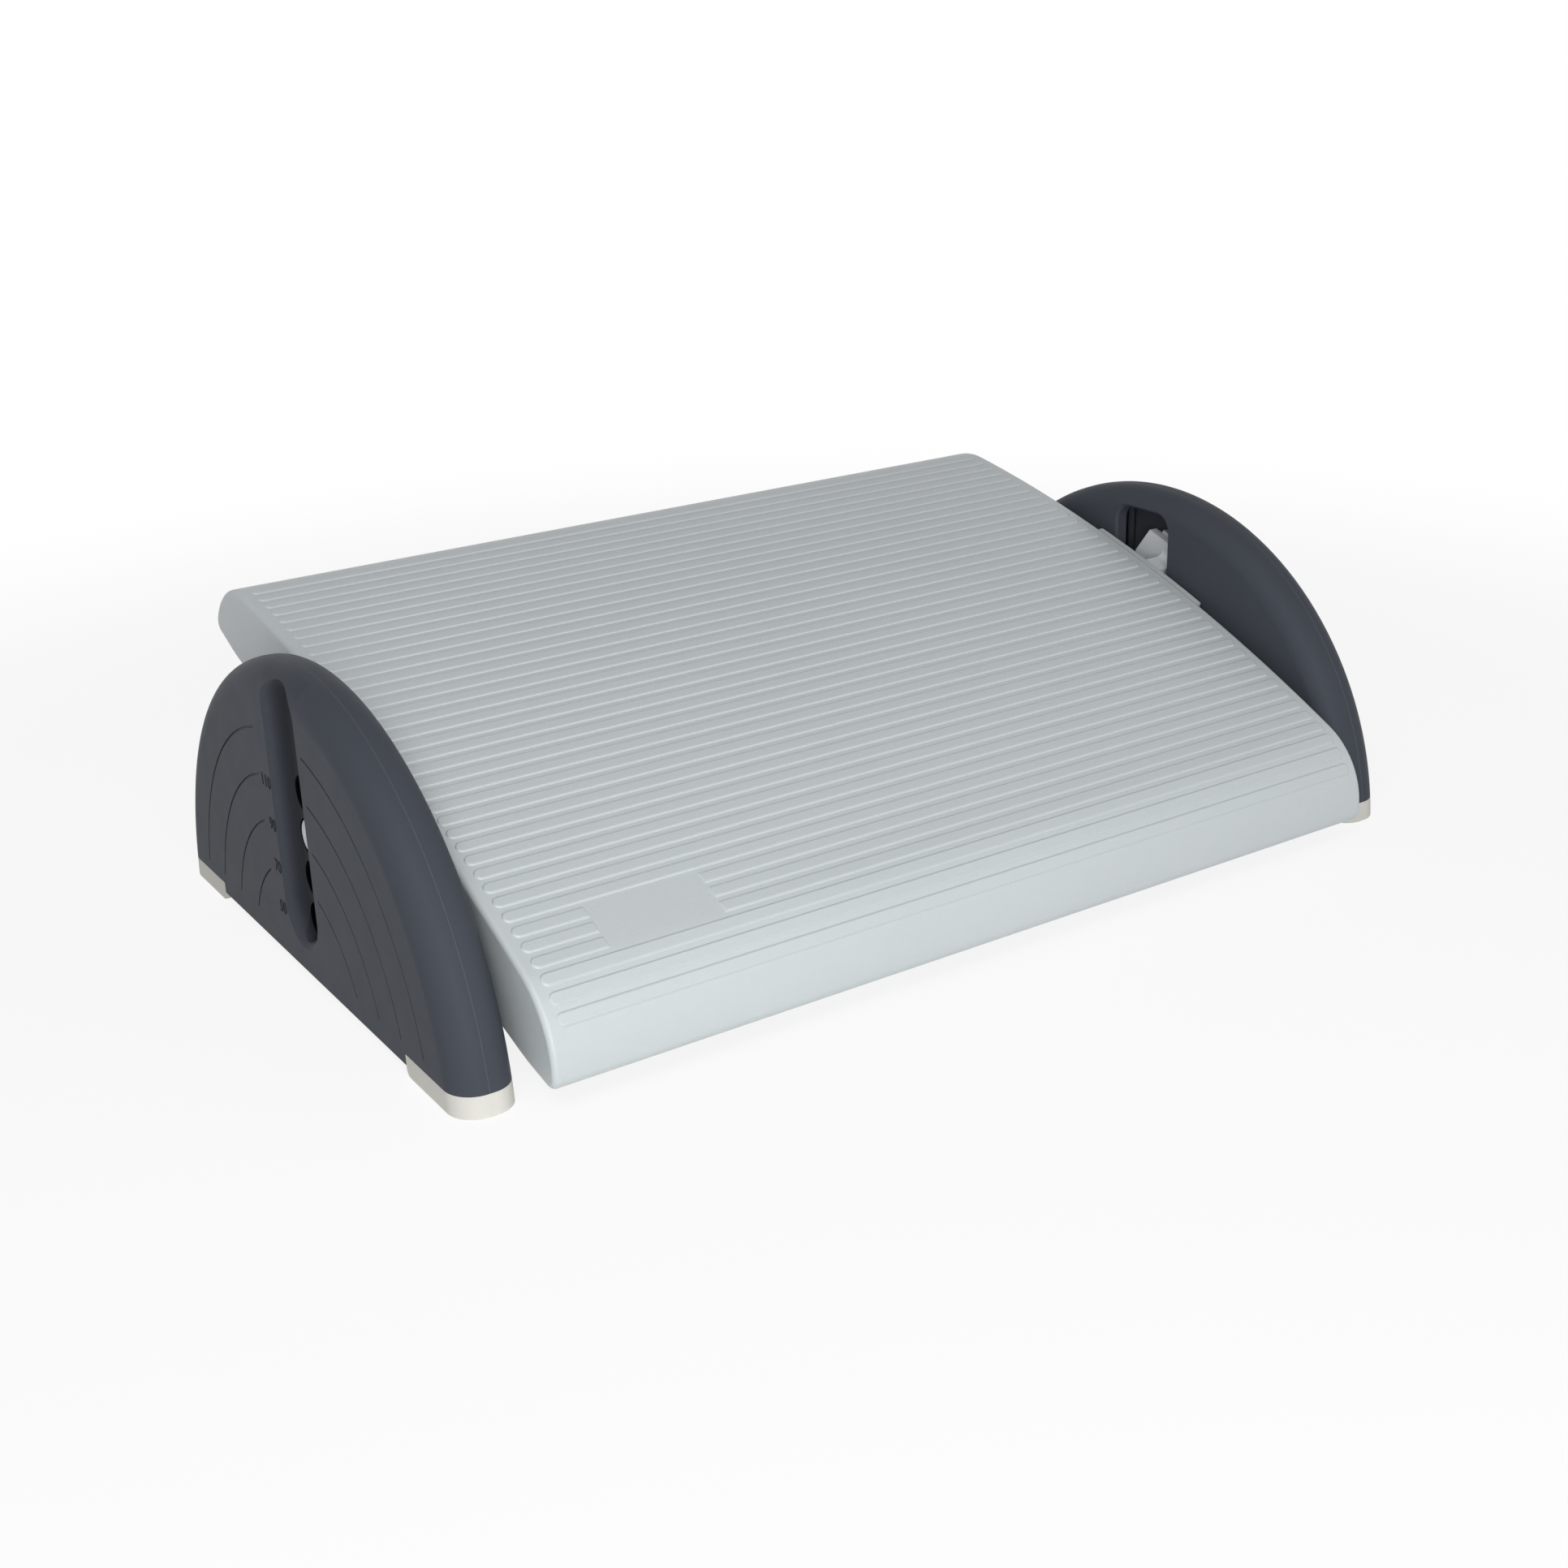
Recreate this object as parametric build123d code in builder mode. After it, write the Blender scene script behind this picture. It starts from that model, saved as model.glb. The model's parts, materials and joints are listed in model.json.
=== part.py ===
from build123d import *
from math import acos, asin, atan2, cos, radians, sin, sqrt, tan
import os

# Adjustable footrest: a crowned, ribbed deck tilts between two dome-shaped side supports.
# X runs across the footrest, +Y to the rear, +Z up. The origin is on the floor, under the middle.
# Sizes are in millimetres, angles in degrees. Right-hand pieces are drawn at +X and mirrored.

# Deck
DECK_WIDTH = 448.0
DECK_LENGTH = 357.0
DECK_RISE = 42.0
DECK_DROP = 6.0
CROWN_RADIUS = 1000.0
NOSE_RADIUS = 40.0
DECK_LOWER_EDGE = 6.0
DECK_SIDE_EDGE = 2.5
DECK_WALL = 3.0
STIFFENER_THICKNESS = 2.2
STIFFENER_CLEARANCE = 27.0
STIFFENERS_ACROSS = 4
STIFFENERS_ALONG = 5
REST_TILT = 17.5

# Tread ribs on the deck
RIB_COUNT = 38
RIB_PITCH = 8.52
RIB_LENGTH = 437.6
RIB_WIDTH = 6.4
RIB_HEIGHT = 0.65
RIB_ROOT = 0.4
RIB_SLOPE = 50.0
FIRST_RIB = 146.4
FIELD_FIRST_RIB = 33
FIELD_RIBS = 3
FIELD_WIDTH = 54.0
FIELD_CENTRE_X = -158.0

# Side pad of the deck and the arm that is screwed behind it
PAD_LENGTH = 81.0
PAD_THICKNESS = 3.0
PAD_STEP = 0.7
LOBE_RADIUS = 20.0
NECK_DIAMETER = 26.0
NECK_BORE = 20.0
ARM_FLANGE_THICKNESS = 4.0
ARM_FLANGE_LENGTH = 56.0
ARM_FLANGE_HEIGHT = 24.0
ARM_FLANGE_CENTRE = 8.0
ARM_FLANGE_DISC = 18.0
ARM_SCREW_SPACING_LONG = 42.0
ARM_SCREW_SPACING_HIGH = 12.0
ARM_SCREW_BITE = 5.0
SCREW_SHANK = 3.5
SCREW_HEAD = 7.0
SCREW_HEAD_HEIGHT = 2.5

# Side supports
PANEL_GAP = 3.3
PANEL_THICKNESS = 27.2
DOME_RADIUS = 155.0
DOME_CENTRE_Z = -11.5
OUTER_EDGE_RADIUS = 13.0
INNER_EDGE_RADIUS = 11.0
PARTING_CHAMFER = 0.2
SHELL_WALL = 2.8
SHELL_BOTTOM = 4.5
SHELL_SCREW_PLACES = ((-115.0, 27.0), (-60.0, 70.0), (60.0, 70.0), (115.0, 27.0))
BOSS_DIAMETER = 11.0
SHELL_SCREW_RECESS = 3.2
SHELL_SCREW_BITE = 7.0

# Feet
FOOT_LENGTH = 50.0
FOOT_HEIGHT = 9.6
FOOT_PEG = 6.0
FOOT_PEG_LENGTH = 6.0
FOOT_PEG_SPACING = 11.0
FOOT_END_RADIUS = 3.5

# Height holes and the finger channel that they lie in
HOLE_PITCH = 20.0
LOWEST_HOLE_Z = 27.0
HOLE_COUNT = 4
REST_HOLE = 2
HOLE_DIAMETER = 17.0
CHANNEL_WIDTH = 40.5
CHANNEL_FLOOR_WIDTH = 17.6
CHANNEL_DEPTH = 7.2
CHANNEL_RIM_LIFT = 0.2
CHANNEL_BOTTOM_Z = 14.0
CHANNEL_TOP_Z = 145.0
CHANNEL_FLOOR = 2.5
PIN_TRACK_FLOOR = 1.2

# Engraved arcs on the outer face
ARC_RADII = (63.0, 84.0, 105.0, 126.0)
ARC_WIDTH = 1.0
ARC_DEPTH = 0.6
ARC_START_FRONT = 23.0
ARC_START_REAR = 33.0
ARC_FOOT_Z = 15.0

# Window of the inner shell, and the shoe that runs in it
WINDOW_WIDTH = 39.0
WINDOW_TOP_Z = 132.5
WINDOW_CORNER = 9.0
WINDOW_CHAMFER = 1.2
WINDOW_CHAMFER_ANGLE = 45.0
WINDOW_JAMB = 7.0
JAMB_WALL = 2.5
SHOE_HEIGHT = 36.0
SHOE_FLANGE_LIP = 3.0
SHOE_PLATE_THICKNESS = 1.8
WASHER_THICKNESS = 1.0
WASHER_DIAMETER = 36.0
GUIDE_RIB_THICKNESS = 2.0
GUIDE_RIB_Y = 28.0
GUIDE_RIB_TOP_Z = 128.0

# Arm head, button and spring
HEAD_PLATE = 5.0
HEAD_TOP = 49.0
HEAD_TOP_WIDTH = 38.0
HEAD_SHOULDER = 33.0
HEAD_SHOULDER_WIDTH = 50.0
HEAD_EYE_RADIUS = 16.0
HEAD_END_WALL = 2.5
HEAD_RIB_WIDTH = 28.0
HEAD_RIB_TOP = 50.5
HEAD_RIB_GAP = 0.3
BRIDGE_FRONT = 5.5
BRIDGE_REAR = 6.0
BRIDGE_TOP = 40.0
BRIDGE_BOTTOM = 26.0
BRIDGE_FILLET = 4.0
BUTTON_DIAMETER = 16.0
BUTTON_FLANGE = 2.4
BUTTON_EDGE = 1.2
SPRING_WIRE = 1.2
SPRING_DIAMETER = 15.0
SPRING_TURNS = 6
SPRING_WIRE_SIDES = 6
SPRING_CAP_THICKNESS = 3.0
SPRING_CAP_EDGE = 0.6

# Clearances: between faces that pass each other, of running round fits, and of fitted pieces
SIDE_GAP = 0.3
RUNNING_GAP = 0.05
FIT_GAP = 0.05

# Places that follow from the sizes above
tilt = radians(REST_TILT)
pivot_z = LOWEST_HOLE_Z + REST_HOLE * HOLE_PITCH
nose_y = DECK_LENGTH / 2 - NOSE_RADIUS
nose_angle = asin(nose_y / (CROWN_RADIUS - NOSE_RADIUS))
crown_z = DECK_RISE - CROWN_RADIUS
nose_z = crown_z + (CROWN_RADIUS - NOSE_RADIUS) * cos(nose_angle)

# The deck reaches furthest back at its rounded lower edge and furthest forward on its nose,
# and the pivot is placed so that the origin lies half way between the two.
lower_edge_z = DECK_LOWER_EDGE - DECK_DROP
lower_edge_y = nose_y + sqrt((NOSE_RADIUS - DECK_LOWER_EDGE) ** 2 - (lower_edge_z - nose_z) ** 2)
rear_reach = lower_edge_y * cos(tilt) - lower_edge_z * sin(tilt) + DECK_LOWER_EDGE
front_reach = nose_y * cos(tilt) + nose_z * sin(tilt) + NOSE_RADIUS
pivot_y = (front_reach - rear_reach) / 2
pivot = (0, pivot_y, pivot_z)

# Faces of the right side, counted outwards from the middle plane
deck_side_x = DECK_WIDTH / 2
deck_inside_x = deck_side_x - DECK_WALL
flange_x = deck_inside_x - ARM_FLANGE_THICKNESS
pad_x = deck_side_x + PAD_THICKNESS
panel_inner_x = pad_x + PANEL_GAP
panel_outer_x = panel_inner_x + PANEL_THICKNESS
panel_middle_x = panel_inner_x + PANEL_THICKNESS / 2
washer_x = pad_x + SIDE_GAP
shoe_x = washer_x + WASHER_THICKNESS
shoe_plate_x = panel_inner_x + WINDOW_JAMB + SIDE_GAP
head_x = shoe_plate_x + SHOE_PLATE_THICKNESS + SIDE_GAP
channel_floor_x = panel_outer_x - CHANNEL_DEPTH
channel_back_x = channel_floor_x - CHANNEL_FLOOR
head_end_x = channel_back_x - SIDE_GAP
head_bore_end_x = head_end_x - HEAD_END_WALL
pin_track_x = channel_floor_x - PIN_TRACK_FLOOR
button_tip_x = pin_track_x - SIDE_GAP
foot_inner_y = sqrt(DOME_RADIUS**2 - DOME_CENTRE_Z**2) - FOOT_LENGTH
window_bottom_z = LOWEST_HOLE_Z - SHOE_HEIGHT / 2 - SIDE_GAP

# The deck's side view and top view, tilted about the pivot, and the same side view held upright
DECK_SIDE = Plane(origin=pivot, x_dir=(0, cos(tilt), sin(tilt)), z_dir=(1, 0, 0))
DECK_TOP = Plane(origin=pivot, x_dir=(1, 0, 0), z_dir=(0, -sin(tilt), cos(tilt)))
UPRIGHT = Plane(origin=pivot, x_dir=(0, 1, 0), z_dir=(1, 0, 0))
PANEL = Plane(origin=(0, pivot_y, 0), x_dir=(0, 1, 0), z_dir=(1, 0, 0))
PANEL_OUTSIDE = Plane(origin=(panel_outer_x, pivot_y, 0), x_dir=(0, -1, 0), z_dir=(-1, 0, 0))
PANEL_CENTRE = Plane(origin=(0, pivot_y, 0), x_dir=(1, 0, 0), z_dir=(0, 1, 0))

os.makedirs("parts", exist_ok=True)


def keep(piece, node):
    """Label a finished piece and write it."""
    piece.part.label = node
    export_step(piece.part, f"parts/{node}.step")


def keep_pair(right_piece, node):
    """Write a right-hand piece and its mirror image on the left."""
    keep(right_piece, f"right_{node}")
    with BuildPart() as left_piece:
        mirror(right_piece.part, about=Plane.YZ)
    keep(left_piece, f"left_{node}")


def deck_profile(plane, inset, bottom, lower_edge=0.0):
    """Side outline of the deck, moved inwards by inset: crown, two noses and a straight bottom."""
    crown = CROWN_RADIUS - inset
    nose = NOSE_RADIUS - inset
    end_angle = acos((bottom - nose_z) / nose)
    middle_angle = (nose_angle + end_angle) / 2
    shoulder = Vector(crown * sin(nose_angle), crown_z + crown * cos(nose_angle))
    bulge = Vector(nose_y + nose * sin(middle_angle), nose_z + nose * cos(middle_angle))
    end = Vector(nose_y + nose * sin(end_angle), bottom)
    with BuildSketch(plane) as outline:
        with BuildLine():
            ThreePointArc((-shoulder.X, shoulder.Y), (0, DECK_RISE - inset), shoulder)
            ThreePointArc(shoulder, bulge, end)
            Line(end, (-end.X, end.Y))
            ThreePointArc((-end.X, end.Y), (-bulge.X, bulge.Y), (-shoulder.X, shoulder.Y))
        make_face()
        if lower_edge > 0:
            fillet(outline.vertices().group_by(Axis.Y)[0], lower_edge)
    return outline.sketch


def on_deck_top(distance):
    """Place and slope of the tread, at a distance along it from the top of the crown."""
    crown_length = CROWN_RADIUS * nose_angle
    side = 1 if distance > 0 else -1
    if abs(distance) <= crown_length:
        angle = abs(distance) / CROWN_RADIUS
        place = Vector(side * CROWN_RADIUS * sin(angle), crown_z + CROWN_RADIUS * cos(angle))
    else:
        angle = nose_angle + (abs(distance) - crown_length) / NOSE_RADIUS
        place = Vector(side * (nose_y + NOSE_RADIUS * sin(angle)), nose_z + NOSE_RADIUS * cos(angle))
    return place, side * angle


def dome_outline(x, radius, bottom):
    """Half disc of a side support, cut off level at the bottom."""
    with BuildSketch(PANEL.offset(x)) as outline:
        with Locations((0, DOME_CENTRE_Z)):
            Circle(radius)
        with Locations((0, bottom)):
            Rectangle(3 * radius, 3 * radius, align=(Align.CENTER, Align.MAX), mode=Mode.SUBTRACT)
    return outline.sketch


def foot_seats(x, wall):
    """The two ends of a support that the feet fill, with a wall above and beside them."""
    level_top = (Align.CENTER, Align.MAX)
    with BuildSketch(PANEL.offset(x)) as seats:
        with Locations((0, FOOT_HEIGHT + wall)):
            Rectangle(2 * (DOME_RADIUS + wall), 2 * FOOT_HEIGHT, align=level_top)
            Rectangle(2 * (foot_inner_y - wall), 2 * FOOT_HEIGHT, align=level_top, mode=Mode.SUBTRACT)
    return seats.sketch


def channel_section(z):
    """Half the level section of the finger channel: a flat floor, a hollow curve and a rounded rim."""
    rise = CHANNEL_DEPTH + CHANNEL_RIM_LIFT
    run = (CHANNEL_WIDTH - CHANNEL_FLOOR_WIDTH) / 2
    turn = 2 * atan2(rise, run)
    radius = rise / (2 - 2 * cos(turn))
    floor_end = Vector(CHANNEL_FLOOR_WIDTH / 2, CHANNEL_DEPTH)
    half_turn = Vector(radius * sin(turn / 2), radius * (cos(turn / 2) - 1))
    middle = floor_end + Vector(run / 2, -rise / 2)
    rim = floor_end + Vector(run, -rise)
    clear = rim - Vector(0, CHANNEL_DEPTH)
    section_plane = Plane(origin=(panel_outer_x, pivot_y, z), x_dir=(0, 1, 0), z_dir=(0, 0, 1))
    with BuildSketch(section_plane) as section:
        with BuildLine():
            Line((0, CHANNEL_DEPTH), floor_end)
            ThreePointArc(floor_end, floor_end + half_turn, middle)
            ThreePointArc(middle, rim - half_turn, rim)
            Polyline(rim, clear, (0, clear.Y), (0, CHANNEL_DEPTH))
        make_face()
    return section.sketch


def window_outline(margin):
    """Tall window of the inner shell with rounded upper corners, widened by margin."""
    width = WINDOW_WIDTH + 2 * margin
    height = WINDOW_TOP_Z - window_bottom_z + 2 * margin
    with BuildSketch(PANEL.offset(panel_inner_x)) as outline:
        with Locations((0, window_bottom_z - margin)):
            Rectangle(width, height, align=(Align.CENTER, Align.MIN))
        fillet(outline.vertices().group_by(Axis.Y)[-1], WINDOW_CORNER + margin)
    return outline.sketch


def peg_places():
    """Places of a front foot's two pegs, one in each half shell, seen from above."""
    peg_y = pivot_y - foot_inner_y - FOOT_LENGTH / 2
    return [(panel_middle_x + side * FOOT_PEG_SPACING / 2, peg_y) for side in (-1, 1)]


# Deck: one moulded shell, open below, with stiffeners under the tread and a pad at each pivot
with BuildPart() as deck_hollow:
    extrude(
        deck_profile(DECK_SIDE, DECK_WALL, -DECK_DROP - DECK_LOWER_EDGE),
        amount=deck_inside_x,
        both=True,
    )
    with BuildSketch(DECK_TOP.offset(STIFFENER_CLEARANCE)):
        with GridLocations(1, DECK_LENGTH / (STIFFENERS_ACROSS + 1), 1, STIFFENERS_ACROSS):
            Rectangle(DECK_WIDTH, STIFFENER_THICKNESS)
        with GridLocations(DECK_WIDTH / (STIFFENERS_ALONG + 1), 1, STIFFENERS_ALONG, 1):
            Rectangle(STIFFENER_THICKNESS, DECK_LENGTH)
    extrude(amount=DECK_RISE, mode=Mode.SUBTRACT)

with BuildPart() as deck:
    extrude(deck_profile(DECK_SIDE, 0, -DECK_DROP, DECK_LOWER_EDGE), amount=deck_side_x, both=True)
    side_faces = deck.faces().filter_by(Axis.X)
    fillet(side_faces.edges(), DECK_SIDE_EDGE)
    add(deck_hollow.part, mode=Mode.SUBTRACT)
    for side in (-1, 1):
        with BuildSketch(DECK_SIDE.offset(side * (deck_side_x - DECK_SIDE_EDGE))):
            add(deck_profile(Plane.XY, PAD_STEP, -DECK_DROP))
            Rectangle(PAD_LENGTH, 3 * DECK_RISE, mode=Mode.INTERSECT)
        extrude(amount=side * (DECK_SIDE_EDGE + PAD_THICKNESS))
        with BuildSketch(DECK_SIDE.offset(side * deck_inside_x)):
            Circle(LOBE_RADIUS)
        extrude(amount=side * (DECK_WALL + PAD_THICKNESS))
        with BuildSketch(DECK_SIDE.offset(side * deck_inside_x)):
            Circle(NECK_DIAMETER / 2 + FIT_GAP)
        extrude(amount=side * (DECK_WALL + PAD_THICKNESS), mode=Mode.SUBTRACT)
        with BuildSketch(DECK_SIDE.offset(side * deck_inside_x)):
            with Locations((0, ARM_FLANGE_CENTRE)):
                with GridLocations(ARM_SCREW_SPACING_LONG, ARM_SCREW_SPACING_HIGH, 2, 2):
                    Circle(SCREW_SHANK / 2 + FIT_GAP)
        extrude(amount=side * (ARM_SCREW_BITE + FIT_GAP), mode=Mode.SUBTRACT)
    rib_spread = 2 * RIB_ROOT * tan(radians(RIB_SLOPE))
    for rib in range(RIB_COUNT):
        place, slope = on_deck_top(FIRST_RIB - rib * RIB_PITCH)
        rib_origin = DECK_SIDE.from_local_coords(place)
        rib_normal = (0, sin(slope - tilt), cos(slope - tilt))
        rib_plane = Plane(origin=rib_origin, x_dir=(1, 0, 0), z_dir=rib_normal).offset(-RIB_ROOT)
        with BuildSketch(rib_plane):
            SlotOverall(RIB_LENGTH + rib_spread, RIB_WIDTH + rib_spread)
            if FIELD_FIRST_RIB <= rib + 1 < FIELD_FIRST_RIB + FIELD_RIBS:
                with Locations((FIELD_CENTRE_X, 0)):
                    Rectangle(FIELD_WIDTH - rib_spread, 2 * RIB_WIDTH, mode=Mode.SUBTRACT)
    extrude(amount=RIB_ROOT + RIB_HEIGHT, taper=RIB_SLOPE)
keep(deck, "deck")

# Pivot arm: a flanged tube, screwed behind the deck's side wall, that the deck tilts on
with BuildPart() as pivot_arm:
    with BuildSketch(DECK_SIDE.offset(flange_x)):
        Circle(ARM_FLANGE_DISC)
        with Locations((0, ARM_FLANGE_CENTRE)):
            RectangleRounded(ARM_FLANGE_LENGTH, ARM_FLANGE_HEIGHT, SCREW_HEAD / 2)
            with GridLocations(ARM_SCREW_SPACING_LONG, ARM_SCREW_SPACING_HIGH, 2, 2):
                Circle(SCREW_SHANK / 2 + FIT_GAP, mode=Mode.SUBTRACT)
    extrude(amount=ARM_FLANGE_THICKNESS)
    with BuildSketch(DECK_SIDE.offset(flange_x)):
        Circle(NECK_DIAMETER / 2)
    extrude(amount=head_x + HEAD_PLATE - flange_x)
    with BuildSketch(DECK_SIDE.offset(flange_x)):
        Circle(NECK_BORE / 2)
    extrude(amount=head_x + HEAD_PLATE - flange_x, mode=Mode.SUBTRACT)
keep_pair(pivot_arm, "pivot_arm")

# Arm screws: four pan heads inside the deck
with BuildPart() as arm_screws:
    with BuildSketch(DECK_SIDE.offset(flange_x)):
        with Locations((0, ARM_FLANGE_CENTRE)):
            with GridLocations(ARM_SCREW_SPACING_LONG, ARM_SCREW_SPACING_HIGH, 2, 2):
                Circle(SCREW_HEAD / 2)
    extrude(amount=-SCREW_HEAD_HEIGHT)
    with BuildSketch(DECK_SIDE.offset(flange_x)):
        with Locations((0, ARM_FLANGE_CENTRE)):
            with GridLocations(ARM_SCREW_SPACING_LONG, ARM_SCREW_SPACING_HIGH, 2, 2):
                Circle(SCREW_SHANK / 2)
    extrude(amount=ARM_FLANGE_THICKNESS + ARM_SCREW_BITE)
keep_pair(arm_screws, "arm_screws")

# Arm head: the tall block inside the support, fitted on the tube, with the button's eye at its foot
with BuildPart() as arm_head:
    with BuildSketch(DECK_SIDE.offset(head_x)):
        Circle(HEAD_EYE_RADIUS)
        with BuildLine():
            Polyline(
                (-HEAD_EYE_RADIUS, 0),
                (-HEAD_SHOULDER_WIDTH / 2, HEAD_SHOULDER),
                (-HEAD_TOP_WIDTH / 2, HEAD_TOP),
                (HEAD_TOP_WIDTH / 2, HEAD_TOP),
                (HEAD_SHOULDER_WIDTH / 2, HEAD_SHOULDER),
                (HEAD_EYE_RADIUS, 0),
                close=True,
            )
        make_face()
    extrude(amount=HEAD_PLATE)
    with BuildSketch(DECK_SIDE.offset(head_x)):
        Circle(NECK_DIAMETER / 2 + FIT_GAP)
    extrude(amount=HEAD_PLATE, mode=Mode.SUBTRACT)
    with BuildSketch(DECK_SIDE.offset(head_x + HEAD_PLATE)):
        Circle(HEAD_EYE_RADIUS)
        Circle(NECK_BORE / 2, mode=Mode.SUBTRACT)
    extrude(amount=head_end_x - head_x - HEAD_PLATE)
    with BuildSketch(DECK_SIDE.offset(head_bore_end_x)):
        Circle(HEAD_EYE_RADIUS)
        Circle(BUTTON_DIAMETER / 2 + RUNNING_GAP, mode=Mode.SUBTRACT)
    extrude(amount=HEAD_END_WALL)
    with BuildSketch(DECK_SIDE.offset(head_x + HEAD_PLATE)):
        with Locations((0, HEAD_RIB_TOP)):
            Rectangle(HEAD_RIB_WIDTH, HEAD_RIB_TOP, align=(Align.CENTER, Align.MAX))
        Circle(NECK_BORE / 2, mode=Mode.SUBTRACT)
    extrude(amount=head_end_x - head_x - HEAD_PLATE - HEAD_RIB_GAP)
    with BuildSketch(DECK_SIDE.offset(pad_x)):
        with BuildLine():
            Polyline(
                (-BRIDGE_FRONT, BRIDGE_BOTTOM),
                (BRIDGE_REAR, BRIDGE_BOTTOM),
                (BRIDGE_REAR, BRIDGE_TOP),
                (-BRIDGE_FRONT, BRIDGE_TOP),
                close=True,
            )
        make_face()
    extrude(amount=head_x - pad_x)
    bridge_edges = arm_head.edges(Select.LAST).filter_by_position(Axis.X, head_x, head_x)
    bridge_root = bridge_edges.sort_by(Axis(pivot, DECK_TOP.z_dir))[-1]
    fillet(bridge_root, BRIDGE_FILLET)
keep_pair(arm_head, "arm_head")

# Lock button: a round pin with a collar, pushed outwards into a height hole by its spring
button_flange_x = head_bore_end_x - FIT_GAP - BUTTON_FLANGE
with BuildPart() as lock_button:
    with BuildSketch(DECK_SIDE.offset(button_flange_x)):
        Circle(NECK_BORE / 2 - RUNNING_GAP)
    extrude(amount=BUTTON_FLANGE)
    with BuildSketch(DECK_SIDE.offset(button_flange_x)):
        Circle(BUTTON_DIAMETER / 2)
    extrude(amount=button_tip_x - button_flange_x)
    fillet(lock_button.faces().sort_by(Axis.X)[-1].edges(), BUTTON_EDGE)
keep_pair(lock_button, "lock_button")

# Spring cap: a plug in the inner end of the tube, which the spring pushes against
with BuildPart() as spring_cap:
    with BuildSketch(DECK_SIDE.offset(flange_x)):
        Circle(NECK_BORE / 2 - FIT_GAP)
    extrude(amount=SPRING_CAP_THICKNESS)
    chamfer(spring_cap.faces().sort_by(Axis.X)[0].edges(), SPRING_CAP_EDGE)
keep_pair(spring_cap, "spring_cap")

# Button spring: round wire wound between the cap and the button's collar
spring_start_x = flange_x + SPRING_CAP_THICKNESS + SPRING_WIRE / 2 + FIT_GAP
spring_length = button_flange_x - SPRING_WIRE / 2 - FIT_GAP - spring_start_x
with BuildPart() as button_spring:
    with BuildLine() as spring_line:
        Helix(
            pitch=spring_length / SPRING_TURNS,
            height=spring_length,
            radius=SPRING_DIAMETER / 2,
            center=(spring_start_x, pivot_y, pivot_z),
            direction=(1, 0, 0),
        )
    wire_start = Plane(origin=spring_line.line @ 0, z_dir=spring_line.line % 0)
    with BuildSketch(wire_start):
        RegularPolygon(SPRING_WIRE / 2, SPRING_WIRE_SIDES)
    sweep(path=spring_line.line, is_frenet=True)
keep_pair(button_spring, "button_spring")

# Friction washer between the deck's pad and the guide shoe
with BuildPart() as friction_washer:
    with BuildSketch(UPRIGHT.offset(washer_x)):
        Circle(WASHER_DIAMETER / 2)
        Circle(NECK_DIAMETER / 2 + RUNNING_GAP, mode=Mode.SUBTRACT)
    extrude(amount=WASHER_THICKNESS)
keep_pair(friction_washer, "friction_washer")

# Guide shoe: a square block with a round eye, which slides up and down in the window
shoe_width = WINDOW_WIDTH - 2 * SIDE_GAP
with BuildPart() as guide_shoe:
    with BuildSketch(UPRIGHT.offset(shoe_x)):
        RectangleRounded(shoe_width + 2 * SHOE_FLANGE_LIP, SHOE_HEIGHT, SHOE_FLANGE_LIP)
    extrude(amount=panel_inner_x - SIDE_GAP - shoe_x)
    with BuildSketch(UPRIGHT.offset(panel_inner_x - SIDE_GAP)):
        RectangleRounded(shoe_width, SHOE_HEIGHT, SHOE_FLANGE_LIP)
    extrude(amount=shoe_plate_x - panel_inner_x + SIDE_GAP)
    with BuildSketch(UPRIGHT.offset(shoe_x)):
        Circle(NECK_DIAMETER / 2 + RUNNING_GAP)
    extrude(amount=shoe_plate_x - shoe_x, mode=Mode.SUBTRACT)
keep_pair(guide_shoe, "guide_shoe")

# Shoe plate: closes the shoe on the inside of the wall
with BuildPart() as shoe_plate:
    with BuildSketch(UPRIGHT.offset(shoe_plate_x)):
        RectangleRounded(shoe_width + 2 * SHOE_FLANGE_LIP, SHOE_HEIGHT, SHOE_FLANGE_LIP)
        Circle(NECK_DIAMETER / 2 + RUNNING_GAP, mode=Mode.SUBTRACT)
    extrude(amount=SHOE_PLATE_THICKNESS)
keep_pair(shoe_plate, "shoe_plate")

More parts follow.
